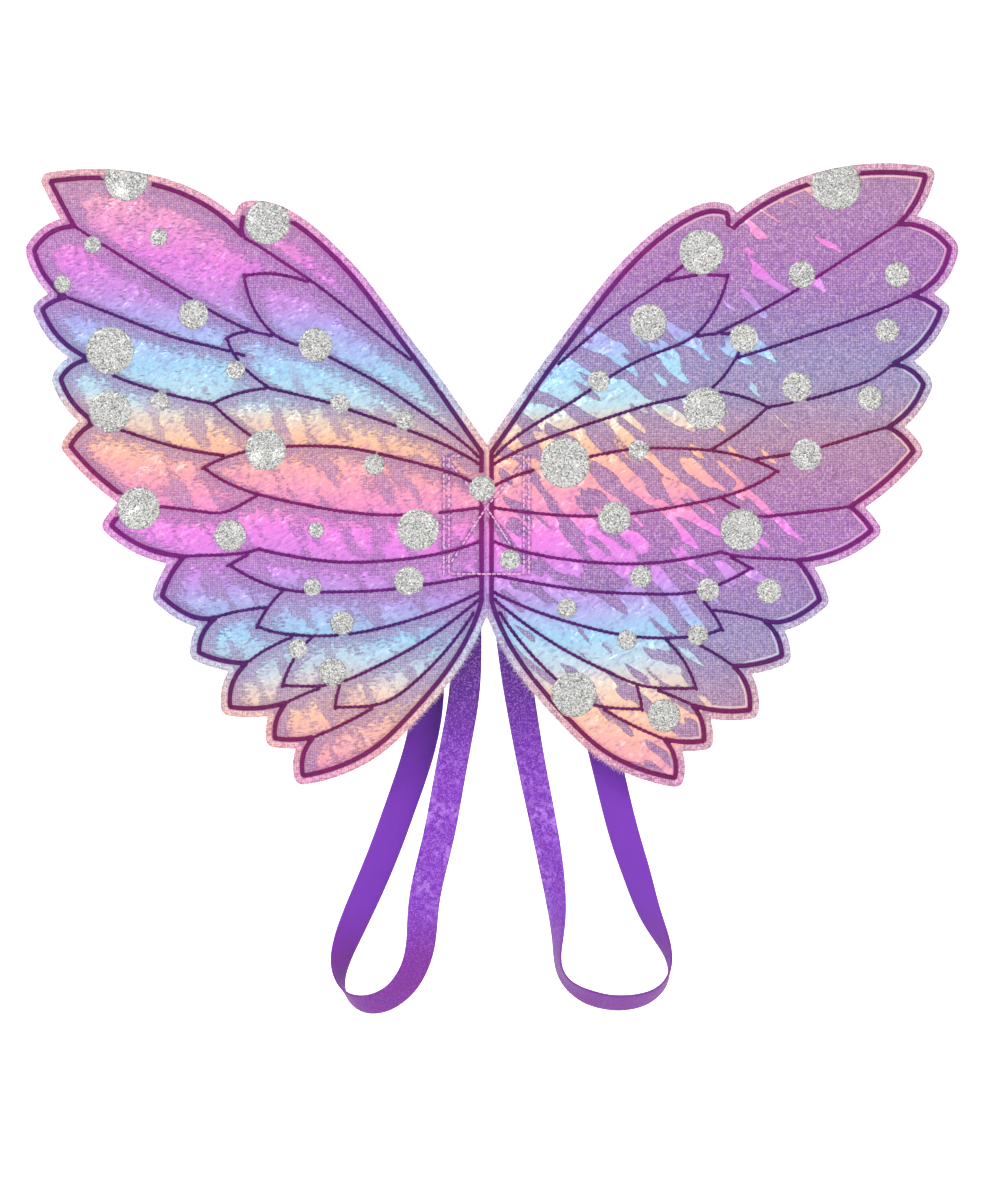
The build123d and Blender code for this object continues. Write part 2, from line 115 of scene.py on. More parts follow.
def evenly(path, count):
    """Points at even shares of a path."""
    run = run_of(path)
    at = np.linspace(0, run[-1], count)
    return np.column_stack([np.interp(at, run, places) for places in path.T])


def resample(path, step, closed=False):
    """Points at an even spacing along a path."""
    if closed:
        path = np.vstack([path, path[:1]])
    out = evenly(path, max(2, int(round(run_of(path)[-1] / step)) + 1))
    return out[:-1] if closed else out


def both_ends(change, path, *more):
    """Applies a change of a path's last end to that end and then to the other."""
    for _ in range(2):
        path = change(path, *more)[::-1]
    return path


def directions(rim):
    """Ahead and to the right at the points of a rim in plan."""
    ahead = unit(np.roll(rim, -1, axis=0) - np.roll(rim, 1, axis=0))
    return ahead, np.column_stack([ahead[:, 1], -ahead[:, 0]])


def tree_of(points):
    tree = kdtree.KDTree(len(points))
    for i, p in enumerate(points):
        tree.insert((p[0], p[1], 0), i)
    tree.balance()
    return tree


def distances(points, tree):
    return np.array([tree.find((p[0], p[1], 0))[2] for p in points])


# ---------------- reading the CAD
def welded(node):
    """Points and triangles of a CAD node, with split vertices joined."""
    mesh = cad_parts[node].data
    mesh.calc_loop_triangles()
    co = np.array([v.co for v in mesh.vertices], float) / MM
    rounded_off = np.round(co * 500).astype(int)        # to 0.002 mm
    keys, index = np.unique(rounded_off, axis=0, return_inverse=True)
    index = index.ravel()
    points = np.zeros((len(keys), 3))
    points[index] = co
    return points, index[np.array([t.vertices for t in mesh.loop_triangles], int)]


def normals_of(points, tris):
    a, b, c = (points[tris[:, i]] for i in range(3))
    return unit(np.cross(b - a, c - a))


def islands(tris, count):
    """Triangle arrays of the separate solids of a node."""
    parent = list(range(count))

    def root(i):
        while parent[i] != i:
            parent[i] = parent[parent[i]]
            i = parent[i]
        return i

    for a, b, c in tris:
        parent[root(b)] = root(a)
        parent[root(c)] = root(a)
    groups = {}
    for t in tris:
        groups.setdefault(root(t[0]), []).append(t)
    return [np.array(g) for g in groups.values()]


def face_loops(points, tris):
    """Rims, in plan, of the flat side of a solid that faces the front."""
    flat = tris[normals_of(points, tris)[:, 1] < -FACING]
    edges = dict.fromkeys((t[i], t[(i + 1) % 3]) for t in flat for i in range(3))
    onward = {a: b for a, b in edges if (b, a) not in edges}
    loops = []
    while onward:
        start = next(iter(onward))
        loop = [start]
        step = onward.pop(start)
        while step != start and step in onward:
            loop.append(step)
            step = onward.pop(step)
        loops.append(points[loop][:, [0, 2]])
    return loops


def solid_loops(node, front=None):
    """Rims of each solid of a node: of all solids, or of those on the front or the back."""
    points, tris = welded(node)
    found = []
    for island in islands(tris, len(points)):
        depth = -points[island].reshape(-1, 3)[:, 1].mean()
        if front is None or front == (depth > (FRONT_SEAM + BACK_SEAM) / 2):
            found.append(face_loops(points, island))
    return found


def centreline(loop):
    """Middle of a ribbon from its rim: its two long sides, averaged."""
    before, after = (unit(np.roll(loop, shift, axis=0) - loop) for shift in (1, -1))
    marks = sorted(np.argsort(-(before * after).sum(1))[:4])
    sides = []
    for start, end in zip(marks, marks[1:] + marks[:1]):
        onward = end if end > start else end + len(loop)
        sides.append(loop[np.arange(start, onward + 1) % len(loop)])
    length = [run_of(side)[-1] for side in sides]
    long = 0 if length[0] + length[2] > length[1] + length[3] else 1
    count = max(3, int(max(length) / 0.8))
    return (evenly(sides[long], count) + evenly(sides[long + 2][::-1], count)) / 2


def sharp_paths(points, tris):
    """Paths of sharp edges between the corners of a solid."""
    normal = normals_of(points, tris)
    faces_of = {}
    for i, t in enumerate(tris):
        for k in range(3):
            faces_of.setdefault(tuple(sorted((t[k], t[(k + 1) % 3]))), []).append(i)
    links = {}
    for (p, q), found in faces_of.items():
        if len(found) == 2 and normal[found[0]] @ normal[found[1]] < SHARP:
            links.setdefault(p, []).append(q)
            links.setdefault(q, []).append(p)
    paths = []
    for corner in (v for v in links if len(links[v]) != 2):
        for step in links[corner]:
            path = [corner, step]
            while len(links[path[-1]]) == 2:
                path.append(next(q for q in links[path[-1]] if q != path[-2]))
            paths.append(points[path])
    return paths


# ---------------- plan of a half
def half_rim(name):
    """Cloth edge of one half, from the middle of the top notch round to the foot."""
    wing = max(solid_loops(name + "_front_cover")[0], key=len)
    centre = max(solid_loops("centre_front_cover")[0], key=len)
    out = np.abs(wing[:, 0]) > HINGE + HINGE_SLACK
    first = next(i for i in range(len(wing)) if out[i] and not out[i - 1])
    wing = np.roll(wing, -first, axis=0)[:out.sum()]
    if wing[0, 1] < wing[-1, 1]:
        wing = wing[::-1]
    reach = centre[:, 0] * SIDES[name]
    inner = centre[(reach > 0.05) & (reach < HINGE - HINGE_SLACK)]
    top, foot = inner[inner[:, 1] > 0], inner[inner[:, 1] < 0]
    top = top[np.argsort(np.abs(top[:, 0]))]
    foot = foot[np.argsort(-np.abs(foot[:, 0]))]
    near = centre[np.abs(centre[:, 0]) < 3, 1]
    notch, foot_end = near[near > 0].min(), near[near < 0].max()
    return np.vstack([[(0, notch)], top, wing, foot, [(0, foot_end)]])


def satin_bars(name, front, rim_tree):
    """Runs of satin stitches of one half, each stitch as its outer and inner end."""
    runs = []
    for node in (name + "_outline_stitching", "centre_outline_stitching"):
        for loops in solid_loops(node, front):
            rims = [resample(loop, BAR, closed=True) for loop in loops]
            rims = [pts for pts in rims if (pts[:, 0] * SIDES[name]).mean() > 0]
            sides = [faces_rim(pts, rim_tree) for pts in rims]
            inner = [p for pts, outer in zip(rims, sides) for p in pts[~outer]]
            if not inner:
                continue
            tree = tree_of(inner)
            for pts, outer in zip(rims, sides):
                for run in stretches(pts, outer):
                    bars = np.array(fan(run, inner, tree))
                    if len(bars) > FEWEST_BARS:
                        usual = np.median(np.linalg.norm(bars[:, 2:] - bars[:, :2], axis=1))
                        bars = both_ends(squared, bars, usual)
                    if len(bars) > FEWEST_BARS:
                        runs.append(both_ends(drawn_out, bars))
    return runs


def faces_rim(pts, rim_tree):
    """True for the points of a ribbon's rim on its side towards the cloth edge."""
    moved = pts + 0.8 * directions(pts)[1]
    nearer = distances(moved, rim_tree) < distances(pts, rim_tree)
    x, z = np.abs(pts[:, 0]), pts[:, 1]
    row = (x < ROW_X) & (z > ROW_LOW) & (z < ROW_HIGH)
    return np.where(row, x < CHANNEL, nearer)


def stretches(pts, keep):
    """Unbroken stretches of the kept points of a closed rim."""
    if keep.all():
        return [np.vstack([pts, pts[:1]])]
    if not keep.any():
        return []
    shift = next(i for i in range(len(pts)) if keep[i] and not keep[i - 1])
    pts, keep = np.roll(pts, -shift, axis=0), np.roll(keep, -shift)
    marks = np.flatnonzero(np.diff(np.concatenate([[0], keep.astype(int), [0]])))
    return [pts[a:b] for a, b in zip(marks[::2], marks[1::2])]


def fan(run, inner, tree):
    """Stitches from a run of outer points to their nearest inner points."""
    bars = []
    last = None
    for p in run:
        q, k, reach = tree.find((p[0], p[1], 0))
        if not SATIN_REACH[0] < reach < SATIN_REACH[1]:
            continue
        if last is not None and 2 < abs(k - last) < 40:     # fills the round of a corner
            way = 1 if k > last else -1
            bars += [(p[0], p[1], *inner[i]) for i in range(last + way, k, way)]
        bars.append((p[0], p[1], q[0], q[1]))
        last = k
    return bars


def squared(bars, usual):
    """Drops the slanted or narrowed stitches at the end of a run."""
    while len(bars) > FEWEST_BARS:
        along = bars[-6, :2] - bars[-1, :2]
        across = bars[-1, 2:] - bars[-1, :2]
        width = np.linalg.norm(across)
        if abs(along @ across) < 0.35 * np.linalg.norm(along) * width and width > 0.93 * usual:
            break
        bars = bars[:-1]
    return bars


def drawn_out(bars):
    """Carries the end of a run to the bend line, or a little under a dot."""
    step = (bars[-1] - bars[-4]) / 3
    pitch = np.linalg.norm(step[:2] + step[2:]) / 2 + 1e-9
    middle = (bars[-1][0] + bars[-1][2]) / 2
    gap = math.copysign(HINGE, middle) - middle
    slope = (step[0] + step[2]) / 2
    count = int(TUCK / pitch)
    if 0 < abs(gap) < 5 and gap * slope > 0:
        count = int(gap / slope) + 1
    return np.vstack([bars] + [bars[-1] + step * (i + 1) for i in range(count)])


def lengthened(path):
    """Carries the end of a line to the bend line, or a little further on."""
    end = path[-1]
    step = unit(end - path[-3])
    gap = math.copysign(HINGE, end[0]) - end[0]
    at_bend = 0 < abs(gap) < 2.2 and gap * step[0] > 0
    return np.vstack([path, end + step * (gap / step[0] if at_bend else TUCK)])


def reaching(path, outline_tree):
    """Carries the end of a line into the outline seam, where it lies just ahead."""
    spot, _, gap = outline_tree.find((path[-1][0], path[-1][1], 0))
    ahead = path[-1] - path[-3]
    step = np.array(spot[:2]) - path[-1]
    if 0.5 < gap < 4 and ahead @ step > 0.3 * gap * np.linalg.norm(ahead):
        path = np.vstack([path, path[-1] + step])
    return path


def over_middle(path):
    """Carries the end of a box seam over the outline rows to the middle."""
    step = path[-1] - path[-3]
    if abs(path[-1][0]) < 9 and path[-1][0] * step[0] < 0:
        path = np.vstack([path, path[-1] - step * path[-1][0] / step[0]])
    return path


def feather_lines(name, front, outline_tree):
    lines = []
    for node in (name + "_feather_stitching", "centre_feather_stitching"):
        for loop, *_ in solid_loops(node, front):
            if loop[:, 0].mean() * SIDES[name] > 0:
                line = both_ends(lengthened, centreline(loop))
                lines.append(both_ends(reaching, line, outline_tree))
    return lines


def box_lines(front):
    """Middle lines of the patch's box-and-cross seam."""
    return [both_ends(over_middle, centreline(loops[0]))
            for loops in solid_loops("patch_box_stitching", front)]


# ---------------- mesh building
def new_object(name, verts, faces):
    mesh = bpy.data.meshes.new(name)
    mesh.from_pydata([tuple(v) for v in verts], [], [tuple(int(i) for i in f) for f in faces])
    mesh.update()
    mesh.shade_smooth()
    obj = bpy.data.objects.new(name, mesh)
    bpy.context.scene.collection.objects.link(obj)
    return obj


def piece(name, verts, faces, **numbers):
    """An object whose material can read its place at rest and numbers for each vertex."""
    obj = new_object(name, verts, faces)
    for key, values in numbers.items():
        attribute = obj.data.attributes.new(key, "FLOAT", "POINT")
        attribute.data.foreach_set("value", np.asarray(values, np.float32))
    co = np.zeros(len(verts) * 3, np.float32)
    obj.data.vertices.foreach_get("co", co)
    rest = obj.data.attributes.new("rest", "FLOAT_VECTOR", "POINT")
    rest.data.foreach_set("vector", co * 10)            # in 0.1 m
    return obj


def joined(name, parts):
    """One object out of several, with their attributes."""
    with bpy.context.temp_override(
            active_object=parts[0], selected_editable_objects=parts, selected_objects=parts):
        bpy.ops.object.join()
    parts[0].name = name
    return parts[0]


def placed(plan, y):
    """Plan points at a given y each, as places in the frame."""
    return np.column_stack([plan[:, 0], np.broadcast_to(y, len(plan)), plan[:, 1]]) * MM


def tube(base, rows, around, closed=True, caps=False):
    """Faces between rows of vertices, closed round the tube and at its ends if asked."""
    faces = []
    for j in range(rows - 1):
        low, high = base + j * around, base + (j + 1) * around
        for a in range(around if closed else around - 1):
            b = (a + 1) % around
            faces.append((low + a, low + b, high + b, high + a))
    if caps:
        faces.append(tuple(range(base, base + around))[::-1])
        faces.append(tuple(range(high, high + around)))
    return faces


def boundary_of(faces):
    edges = set()
    for a, b, c in faces:
        for e in ((a, b), (b, c), (c, a)):
            if (e[1], e[0]) in edges:
                edges.discard((e[1], e[0]))
            else:
                edges.add(e)
    return list(edges)


def skirted(plan, faces, verts, drop, cut_x):
    """Turns the edge of a sheet down, except along an upright cut, and names its source points."""
    at_cut = np.abs(np.abs(plan[:, 0]) - cut_x) < 0.01
    edges = [(a, b) for a, b in boundary_of(faces) if not (at_cut[a] and at_cut[b])]
    rim = list(dict.fromkeys(i for edge in edges for i in edge))
    low = {i: len(plan) + k for k, i in enumerate(rim)}
    walls = [(b, a, low[a], low[b]) for a, b in edges]
    verts = np.vstack([verts, verts[rim] + np.array([0, drop * MM, 0])])
    return verts, [tuple(f) for f in faces] + walls, list(range(len(plan))) + rim


def closed_body(name, plan, faces, front, back, **numbers):
    """A closed body over a plan, between its front and its back y."""
    count = len(plan)
    verts = np.vstack([placed(plan, front), placed(plan, back)])
    body = [tuple(f) for f in faces] + [tuple(f[::-1] + count) for f in faces]
    body += [(b, a, a + count, b + count) for a, b in boundary_of(faces)]
    return piece(name, verts, body, **numbers)


def thinned(points, taken, gap):
    """Adds the points that keep a gap from all points taken so far."""
    cells = {}
    for p in taken:
        cells.setdefault((int(p[0] // gap), int(p[1] // gap)), []).append(p)
    for p in points:
        cx, cz = int(p[0] // gap), int(p[1] // gap)
        near = [q for i in (-1, 0, 1) for j in (-1, 0, 1) for q in cells.get((cx + i, cz + j), ())]
        if all((p[0] - q[0]) ** 2 + (p[1] - q[1]) ** 2 > gap * gap for q in near):
            taken.append((float(p[0]), float(p[1])))
            cells.setdefault((cx, cz), []).append(p)
    return taken


def sheet_plan(rim, seam_points, grid):
    """Triangulated plan inside a rim, with vertices along its seams."""
    rim = resample(rim, grid * 0.6, closed=True)
    count = len(rim)
    low, high = rim.min(0), rim.max(0)
    rise = grid * 0.866                         # rows of even-sided triangles
    rows = int((high[1] - low[1]) / rise) + 1
    columns = int((high[0] - low[0]) / grid) + 1
    mesh = [(low[0] + (i + 0.5 * (j % 2)) * grid, low[1] + j * rise)
            for j in range(rows) for i in range(columns)]
    points = [(float(p[0]), float(p[1])) for p in rim]
    points = thinned(seam_points, points, grid * 0.36)
    points = thinned(mesh, points, grid * 0.62)
    edges = [(i, (i + 1) % count) for i in range(count)]
    found = geometry.delaunay_2d_cdt(
        [Vector(p) for p in points], edges, [list(range(count))], 1, 0.01)
    plan = np.array([tuple(v) for v in found[0]])
    faces = np.array([f for f in found[2] if len(f) == 3])
    a, b, c = (plan[faces[:, i]] for i in range(3))
    turned = np.cross(b - a, c - a) < 0
    faces[turned] = faces[turned][:, ::-1]
    used, index = np.unique(faces, return_inverse=True)
    return plan[used], index.reshape(faces.shape)


CLOTH_SETTINGS = {
    "quality": 6, "mass": 0.3, "tension_stiffness": 12, "compression_stiffness": 12,
    "shear_stiffness": 4, "bending_stiffness": 0.15, "air_damping": 4, "pin_stiffness": 10,
    "vertex_group_mass": "pins", "shrink_min": -0.07, "use_pressure": True,
    "uniform_pressure_force": 6}
CLOTH_SCALE = 0.01      # the cloth is simulated ten times its real size
CLOTH_STEPS = 18


def puff(name, plan, faces, free, cap):
    """Height of padded cloth above its seams: blown up as cloth, held at the seams."""
    crown = cap * (1 - np.exp(-free / 4.0))
    held = free < 0.4
    start = np.column_stack([plan, 0.25 * crown]) * CLOTH_SCALE
    obj = new_object(name, start, faces)
    pins = obj.vertex_groups.new(name="pins")
    pins.add([int(i) for i in np.flatnonzero(held)], 1.0, "REPLACE")
    cloth = obj.modifiers.new("cloth", "CLOTH")
    for key, value in CLOTH_SETTINGS.items():
        setattr(cloth.settings, key, value)
    cloth.settings.effector_weights.gravity = 0
    cloth.collision_settings.use_collision = False
    cloth.point_cache.frame_start = 1
    cloth.point_cache.frame_end = CLOTH_STEPS
    scene = bpy.context.scene
    for step in range(1, CLOTH_STEPS + 1):
        scene.frame_set(step)
    blown = obj.evaluated_get(bpy.context.evaluated_depsgraph_get())
    co = np.zeros(len(plan) * 3, np.float32)
    blown.data.vertices.foreach_get("co", co)
    height = np.nan_to_num(co.reshape(-1, 3)[:, 2] / CLOTH_SCALE, nan=0.0)
    bpy.data.objects.remove(obj)
    scene.frame_set(1)
    return np.where(held, 0, cap * np.tanh(np.maximum(height, 0) / cap))


def smooth_step(x, low, high):
    t = np.clip((x - low) / (high - low), 0, 1)
    return t * t * (3 - 2 * t)


def ripple(points, size, seed, octaves=3):
    """Even noise between -1 and 1 over plan points."""
    return np.array([
        noise.fractal((p[0] / size, p[1] / size, seed), 1.0, 2.0, octaves) for p in points])


def finer(plan, faces, values):
    """Splits each triangle in four, with a value carried along smoothly."""
    pair = {}
    split = []
    for a, b, c in faces:
        ab, bc, ca = (pair.setdefault((min(e), max(e)), len(plan) + len(pair))
                      for e in ((a, b), (b, c), (c, a)))
        split += [(a, ab, ca), (ab, b, bc), (ca, bc, c), (ab, bc, ca)]
    one, other = np.array(list(pair)).T
    plan = np.vstack([plan, (plan[one] + plan[other]) / 2])
    return plan, np.array(split), np.concatenate([values, (values[one] + values[other]) / 2])


def relax(faces, values, held, rounds):
    """Averages values with their neighbours, except at held points."""
    pairs = np.vstack([faces[:, [0, 1]], faces[:, [1, 2]], faces[:, [2, 0]]])
    pairs = np.vstack([pairs, pairs[:, ::-1]])
    for _ in range(rounds):
        total = np.bincount(pairs[:, 0], values[pairs[:, 1]], len(values))
        count = np.bincount(pairs[:, 0], minlength=len(values))
        values = np.where(held, values, 0.5 * values + 0.5 * total / np.maximum(count, 1))
    return values


# ---------------- threads
def flat_at(depth):
    """A seam floor at one depth."""
    return lambda x, z: -depth


def surface_of(tree):
    """The y at which a ray from the front meets a meshed surface."""
    def floor(x, z):
        hit = tree.ray_cast(Vector((x * MM, -0.05, z * MM)), Vector((0, 1, 0)))[0]
        return hit.y / MM if hit is not None else -FRONT_SEAM
    return floor


def dashes(name, paths, floor, sign, size, lean=0):
    """Plump stitches laid end to end along paths; sign is 1 on the front, -1 on the back."""
    pitch, length, width, height = size
    t = np.linspace(-1, 1, 7)                   # along a stitch
    turn = np.arange(6) * 2 * math.pi / 6       # and round it
    swell = np.sqrt(np.clip(1 - t ** 4, 0, 1)) * 0.92 + 0.08
    c, s = math.cos(math.radians(lean)), math.sin(math.radians(lean))
    verts, faces, shade = [], [], []
    for path in paths:
        run = run_of(path)[-1]
        count = max(1, int(round(run / pitch)))
        marks = resample(path, run / (count * 2))
        for i in range(count):
            k = min(2 * i + 1, len(marks) - 2)
            along = unit(marks[k + 1] - marks[k - 1])
            along = np.array([along[0] * c - along[1] * s, along[0] * s + along[1] * c])
            across = np.array([-along[1], along[0]])
            faces += tube(len(verts), len(t), len(turn), caps=True)
            for place, fat in zip(t, swell):
                spine = marks[k] + along * place * length / 2
                level = floor(*spine)
                for a in turn:
                    x, z = spine + across * math.cos(a) * fat * width / 2
                    y = level - sign * math.sin(a) * fat * height / 2
                    verts.append((x * MM, y * MM, z * MM))
            tone = noise.noise((marks[k][0] * 3.1, marks[k][1] * 2.7, 4.0))
            shade += [tone] * len(t) * len(turn)
    return piece(name, verts, faces, tone=shade)


def satin(name, runs, depth, sign, height):
    """A satin-stitched ridge with a groove along it and its threads side by side."""
    across = np.linspace(0, 1, 9)
    groove = 0.35 * np.exp(-((across - 0.5) / 0.09) ** 2)
    crown = np.clip(1 - (2 * across - 1) ** 2, 0, 1) ** 0.35 * (1 - groove)
    verts, faces, shade = [], [], []
    for run in runs:
        faces += tube(len(verts), len(run), len(across), closed=False)
        for i, bar in enumerate(run):
            outer, inner = bar[:2], bar[2:]
            tone = noise.noise((i * 0.31, bar[0] * 0.2, 9.0))
            width = 0.86 + 0.2 * noise.noise((i * 0.83, bar[1] * 0.6, 3.0))
            sunk = 0.16 * (i % 2)               # every other thread lies lower
            for s, crest in zip(across, crown):
                x, z = outer + (inner - outer) * (0.5 + (s - 0.5) * width + 0.03 * tone)
                y = -depth - sign * (crest * (height - sunk) - 0.15)
                verts.append((x * MM, y * MM, z * MM))
            # the tone varies at random and is higher on every other thread; the thread material
            # paints its highlight by it
            shade += [tone * 0.6 + (0.4 if i % 2 else -0.2)] * len(across)
    return piece(name, verts, faces, tone=shade)


# ---------------- the padded halves
class Half:
    """The plan, seams and heights of one wing with its part of the centre."""

    def __init__(self, name):
        self.name, self.side = name, SIDES[name]
        self.rim = half_rim(name)
        self.rim_tree = tree_of(resample(self.rim, 0.5))
        self.front_bars = satin_bars(name, True, self.rim_tree)
        self.back_bars = satin_bars(name, False, self.rim_tree)
        bars = np.vstack(self.front_bars + self.back_bars)
        outline = (bars[:, :2] + bars[:, 2:]) / 2
        self.outline_tree = tree_of(outline)
        self.front_lines = feather_lines(name, True, self.outline_tree)
        self.back_lines = feather_lines(name, False, self.outline_tree)
        lines = np.vstack([resample(p, 0.8) for p in self.front_lines + self.back_lines])
        self.line_tree = tree_of(lines)

        seams = np.vstack([lines, outline, bars[:, :2], bars[:, 2:]])
        plan, faces = sheet_plan(self.rim, seams, GRID)
        free, edge, flat = self.measured(plan)
        held = flat | (free < SEAM_FREE)
        height = puff(name + "_puff", plan, faces, np.where(held, 0, free), FRONT_CAP)
        self.coarse = plan, faces, self.finished(plan, height, free, flat)

        plan, faces, height = finer(plan, faces, height)
        free, edge, flat = self.measured(plan)
        height = relax(faces, height, flat | (free < SEAM_FREE), 2)
        self.plan, self.faces, self.edge, self.free = plan, faces, edge, free
        self.height = self.finished(plan, height, free, flat)
        self.box = self.to_box(plan)
        self.above = self.shelter(plan, np.vstack([outline[::3], lines]))

    def measured(self, plan):
        """Distance to the nearest seam and to the cloth edge, and where no padding lies."""
        outline = distances(plan, self.outline_tree) - SATIN_HALF
        line = distances(plan, self.line_tree) - LINE_HALF
        edge = distances(plan, self.rim_tree)
        flat = (edge < MARGIN) | (np.abs(plan[:, 0]) < CHANNEL)
        return np.clip(np.minimum(outline, line), 0, None), edge, flat

    def to_box(self, plan):
        """Distance from the patch's box-and-cross seam."""
        lines = [resample(p, 0.6) for p in box_lines(True)]
        return distances(plan, tree_of(np.vstack(lines)))

    def finished(self, plan, height, free, flat):
        """Creases in the puffs, dents at the box seam and a low swell where nothing is padded."""
        dent, width = BOX_DENT
        height = height * (1 - dent * np.exp(-(self.to_box(plan) / width) ** 2))
        crease = sum(rise * ripple(plan, *more) for rise, *more in CREASES)
        padded = height + crease * smooth_step(free, SEAM_FREE, 3.5)
        return np.where(flat, FLAT_SWELL * smooth_step(free, 0, 1.6), padded)

    def shelter(self, plan, seams):
        """How close a point lies under the stitched top or tip edge of its feather."""
        tree = tree_of(seams)
        lean = np.array([0.45 * self.side, 0.9])        # up and a little outwards
        out = np.zeros(len(plan))
        for i, p in enumerate(plan):
            for q, _, reach in tree.find_range((p[0], p[1], 0), SHELTER):
                if (q[0] - p[0]) * lean[0] + (q[1] - p[1]) * lean[1] > 0.5 * reach:
                    out[i] = max(out[i], 1 - reach / SHELTER)
        return out


def front_y(height):
    return -(FRONT_SEAM + height)


def back_y(height, plan):
    """The backing swells less, and least behind the patch."""
    swell = (0.55 + 0.45 * smooth_step(np.abs(plan[:, 0]), 27, 45)) * BACK_CAP / FRONT_CAP
    return -BACK_SEAM + height * swell


def sheet(name, half, y, toward):
    """A cloth sheet with a turned-down cut edge; toward is -1 on the front."""
    faces = half.faces if toward < 0 else half.faces[:, ::-1]
    verts, faces, source = skirted(
        half.plan, faces, placed(half.plan, y), -toward * CLOTH, 0)
    return piece(name, verts, faces, edge=half.edge[source], above=half.above[source],
                 seam=np.minimum(half.free[source], 9), box=np.minimum(half.box[source], 9))


def padding(name, half):
    """The foam between the two cloths."""
    plan, faces, height = half.coarse
    return closed_body(name, plan, faces, front_y(height) + CLOTH, back_y(height, plan) - CLOTH)


def fibres(name, half, rng):
    """Loose thread ends along the raw cut edge."""
    rim = resample(half.rim, 0.33)
    ahead, out = directions(rim)
    centre = rim.mean(0)
    if ((rim + out * 2 - centre) ** 2).sum() < ((rim - out * 2 - centre) ** 2).sum():
        out = -out
    verts, faces, tones = [], [], []
    for i in range(1, len(rim) - 1):
        length = rng.uniform(0.7, 2.5)
        lean, rise = rng.normal(0, 0.55), rng.normal(0, 0.35)
        y = -(FRONT_SEAM + 0.35) if rng.random() < 0.65 else -(BACK_SEAM - 0.2)
        way = np.array([out[i][0] + ahead[i][0] * lean, rise, out[i][1] + ahead[i][1] * lean])
        side = np.array([ahead[i][0], 0.0, ahead[i][1]])
        root = np.array([rim[i][0], y + rng.uniform(-0.15, 0.15), rim[i][1]]) - way * 0.5
        bend = side * rng.normal(0, 0.3)
        faces += tube(len(verts), 3, 3)
        for t, radius in ((0, 0.11), (0.5, 0.1), (1.0, 0.04)):
            middle = root + way * (length * t) + bend * t * t
            for turn in np.arange(3) * 2 * math.pi / 3:
                round_it = side * math.cos(turn) + np.array([0, math.sin(turn), 0])
                verts.append(tuple((middle + round_it * radius) * MM))
        tones += [rng.random()] * 9
    return piece(name, verts, faces, tone=tones)


# ---------------- glitter dots
DOT_PROUD, DOT_EDGE = 0.34, 0.2         # how far a dot's middle and edge stand out
DOT_SKIRT = 0.45


def nodes_of(half, *kinds):
    return [part + kind for part in (half.name, "centre") for kind in kinds]


def glitter_dots(name, half, cover):
    """Printed discs that follow the cloth and its seams."""
    parts = []
    for node in nodes_of(half, "_glitter_dots"):
        for loops in solid_loops(node):
            rim = max(loops, key=len).copy()
            if node.startswith("centre") and rim[:, 0].mean() * half.side < 0:
                continue
            rim[np.abs(np.abs(rim[:, 0]) - HINGE) < HINGE_SLACK, 0] = half.side * HINGE
            plan, faces = sheet_plan(rim, [], DOT_GRID)
            y = np.array([cover(x, z) for x, z in plan])
            y = relax(faces, y, np.zeros(len(plan), bool), 3)
            proud = np.full(len(plan), DOT_PROUD)
            proud[np.unique(boundary_of(faces))] = DOT_EDGE
            verts, faces, _ = skirted(plan, faces, placed(plan, y - proud), DOT_SKIRT, HINGE)
            parts.append(piece("dot", verts, faces))
    return joined(name, parts)


# ---------------- back patch
PATCH_RADIUS = 2.0
PATCH_RIM = 1.2         # width of the strip along its edge that isn't puffed
PATCH_RIM_RISE = 0.55
PATCH_SEAM = 0.85       # depth of the outer face along its seams
PATCH_BASE = 2.38       # and of the face against the backing
PATCH_THREAD = 0.75
PATCH_OVER_ENDS = 0.66  # deepest place that still covers the ends of the elastics


def rounded(corners, radius):
    """A polygon's rim with its corners cut round."""
    rim = []
    for i, corner in enumerate(corners):
        start = corner + radius * unit(corners[i - 1] - corner)
        end = corner + radius * unit(corners[(i + 1) % len(corners)] - corner)
        for t in np.linspace(0, 1, 6):
            rim.append((1 - t) ** 2 * start + 2 * t * (1 - t) * corner + t * t * end)
    return np.array(rim)


def patch_pad(name):
    """The felt patch, puffed between its sewn lines."""
    (left, _, low), (right, _, high) = (np.array(end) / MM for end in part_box("back_patch"))
    rim = rounded(np.array([(left, low), (right, low), (right, high), (left, high)]), PATCH_RADIUS)
    lines = np.vstack([resample(p, 0.8) for p in box_lines(False)])
    rim_tree, line_tree = tree_of(resample(rim, 0.5, closed=True)), tree_of(lines)

    def measured(plan):
        free = np.clip(distances(plan, line_tree) - 0.35, 0, None)
        return distances(plan, rim_tree), free

    plan, faces = sheet_plan(rim, lines, PATCH_GRID)
    edge, free = measured(plan)
    height = puff("patch_puff", plan, faces, np.where(edge < PATCH_RIM, 0, free), 1.0)
    plan, faces, height = finer(plan, faces, height)
    edge, free = measured(plan)
    height = relax(faces, np.where(edge < PATCH_RIM, PATCH_RIM_RISE, height), free < 0.2, 2)
    rounding = 0.9 * (1 - np.sqrt(np.clip(1 - (1 - np.clip(edge / 1.6, 0, 1)) ** 2, 0, 1)))
    height += 0.1 * ripple(plan, 6, 2.0) * smooth_step(free, 0, 2) - rounding
    outer = np.maximum(height - PATCH_SEAM, -PATCH_OVER_ENDS)
    return closed_body(name, plan, faces, -PATCH_BASE, outer, edge=np.tile(edge, 2))


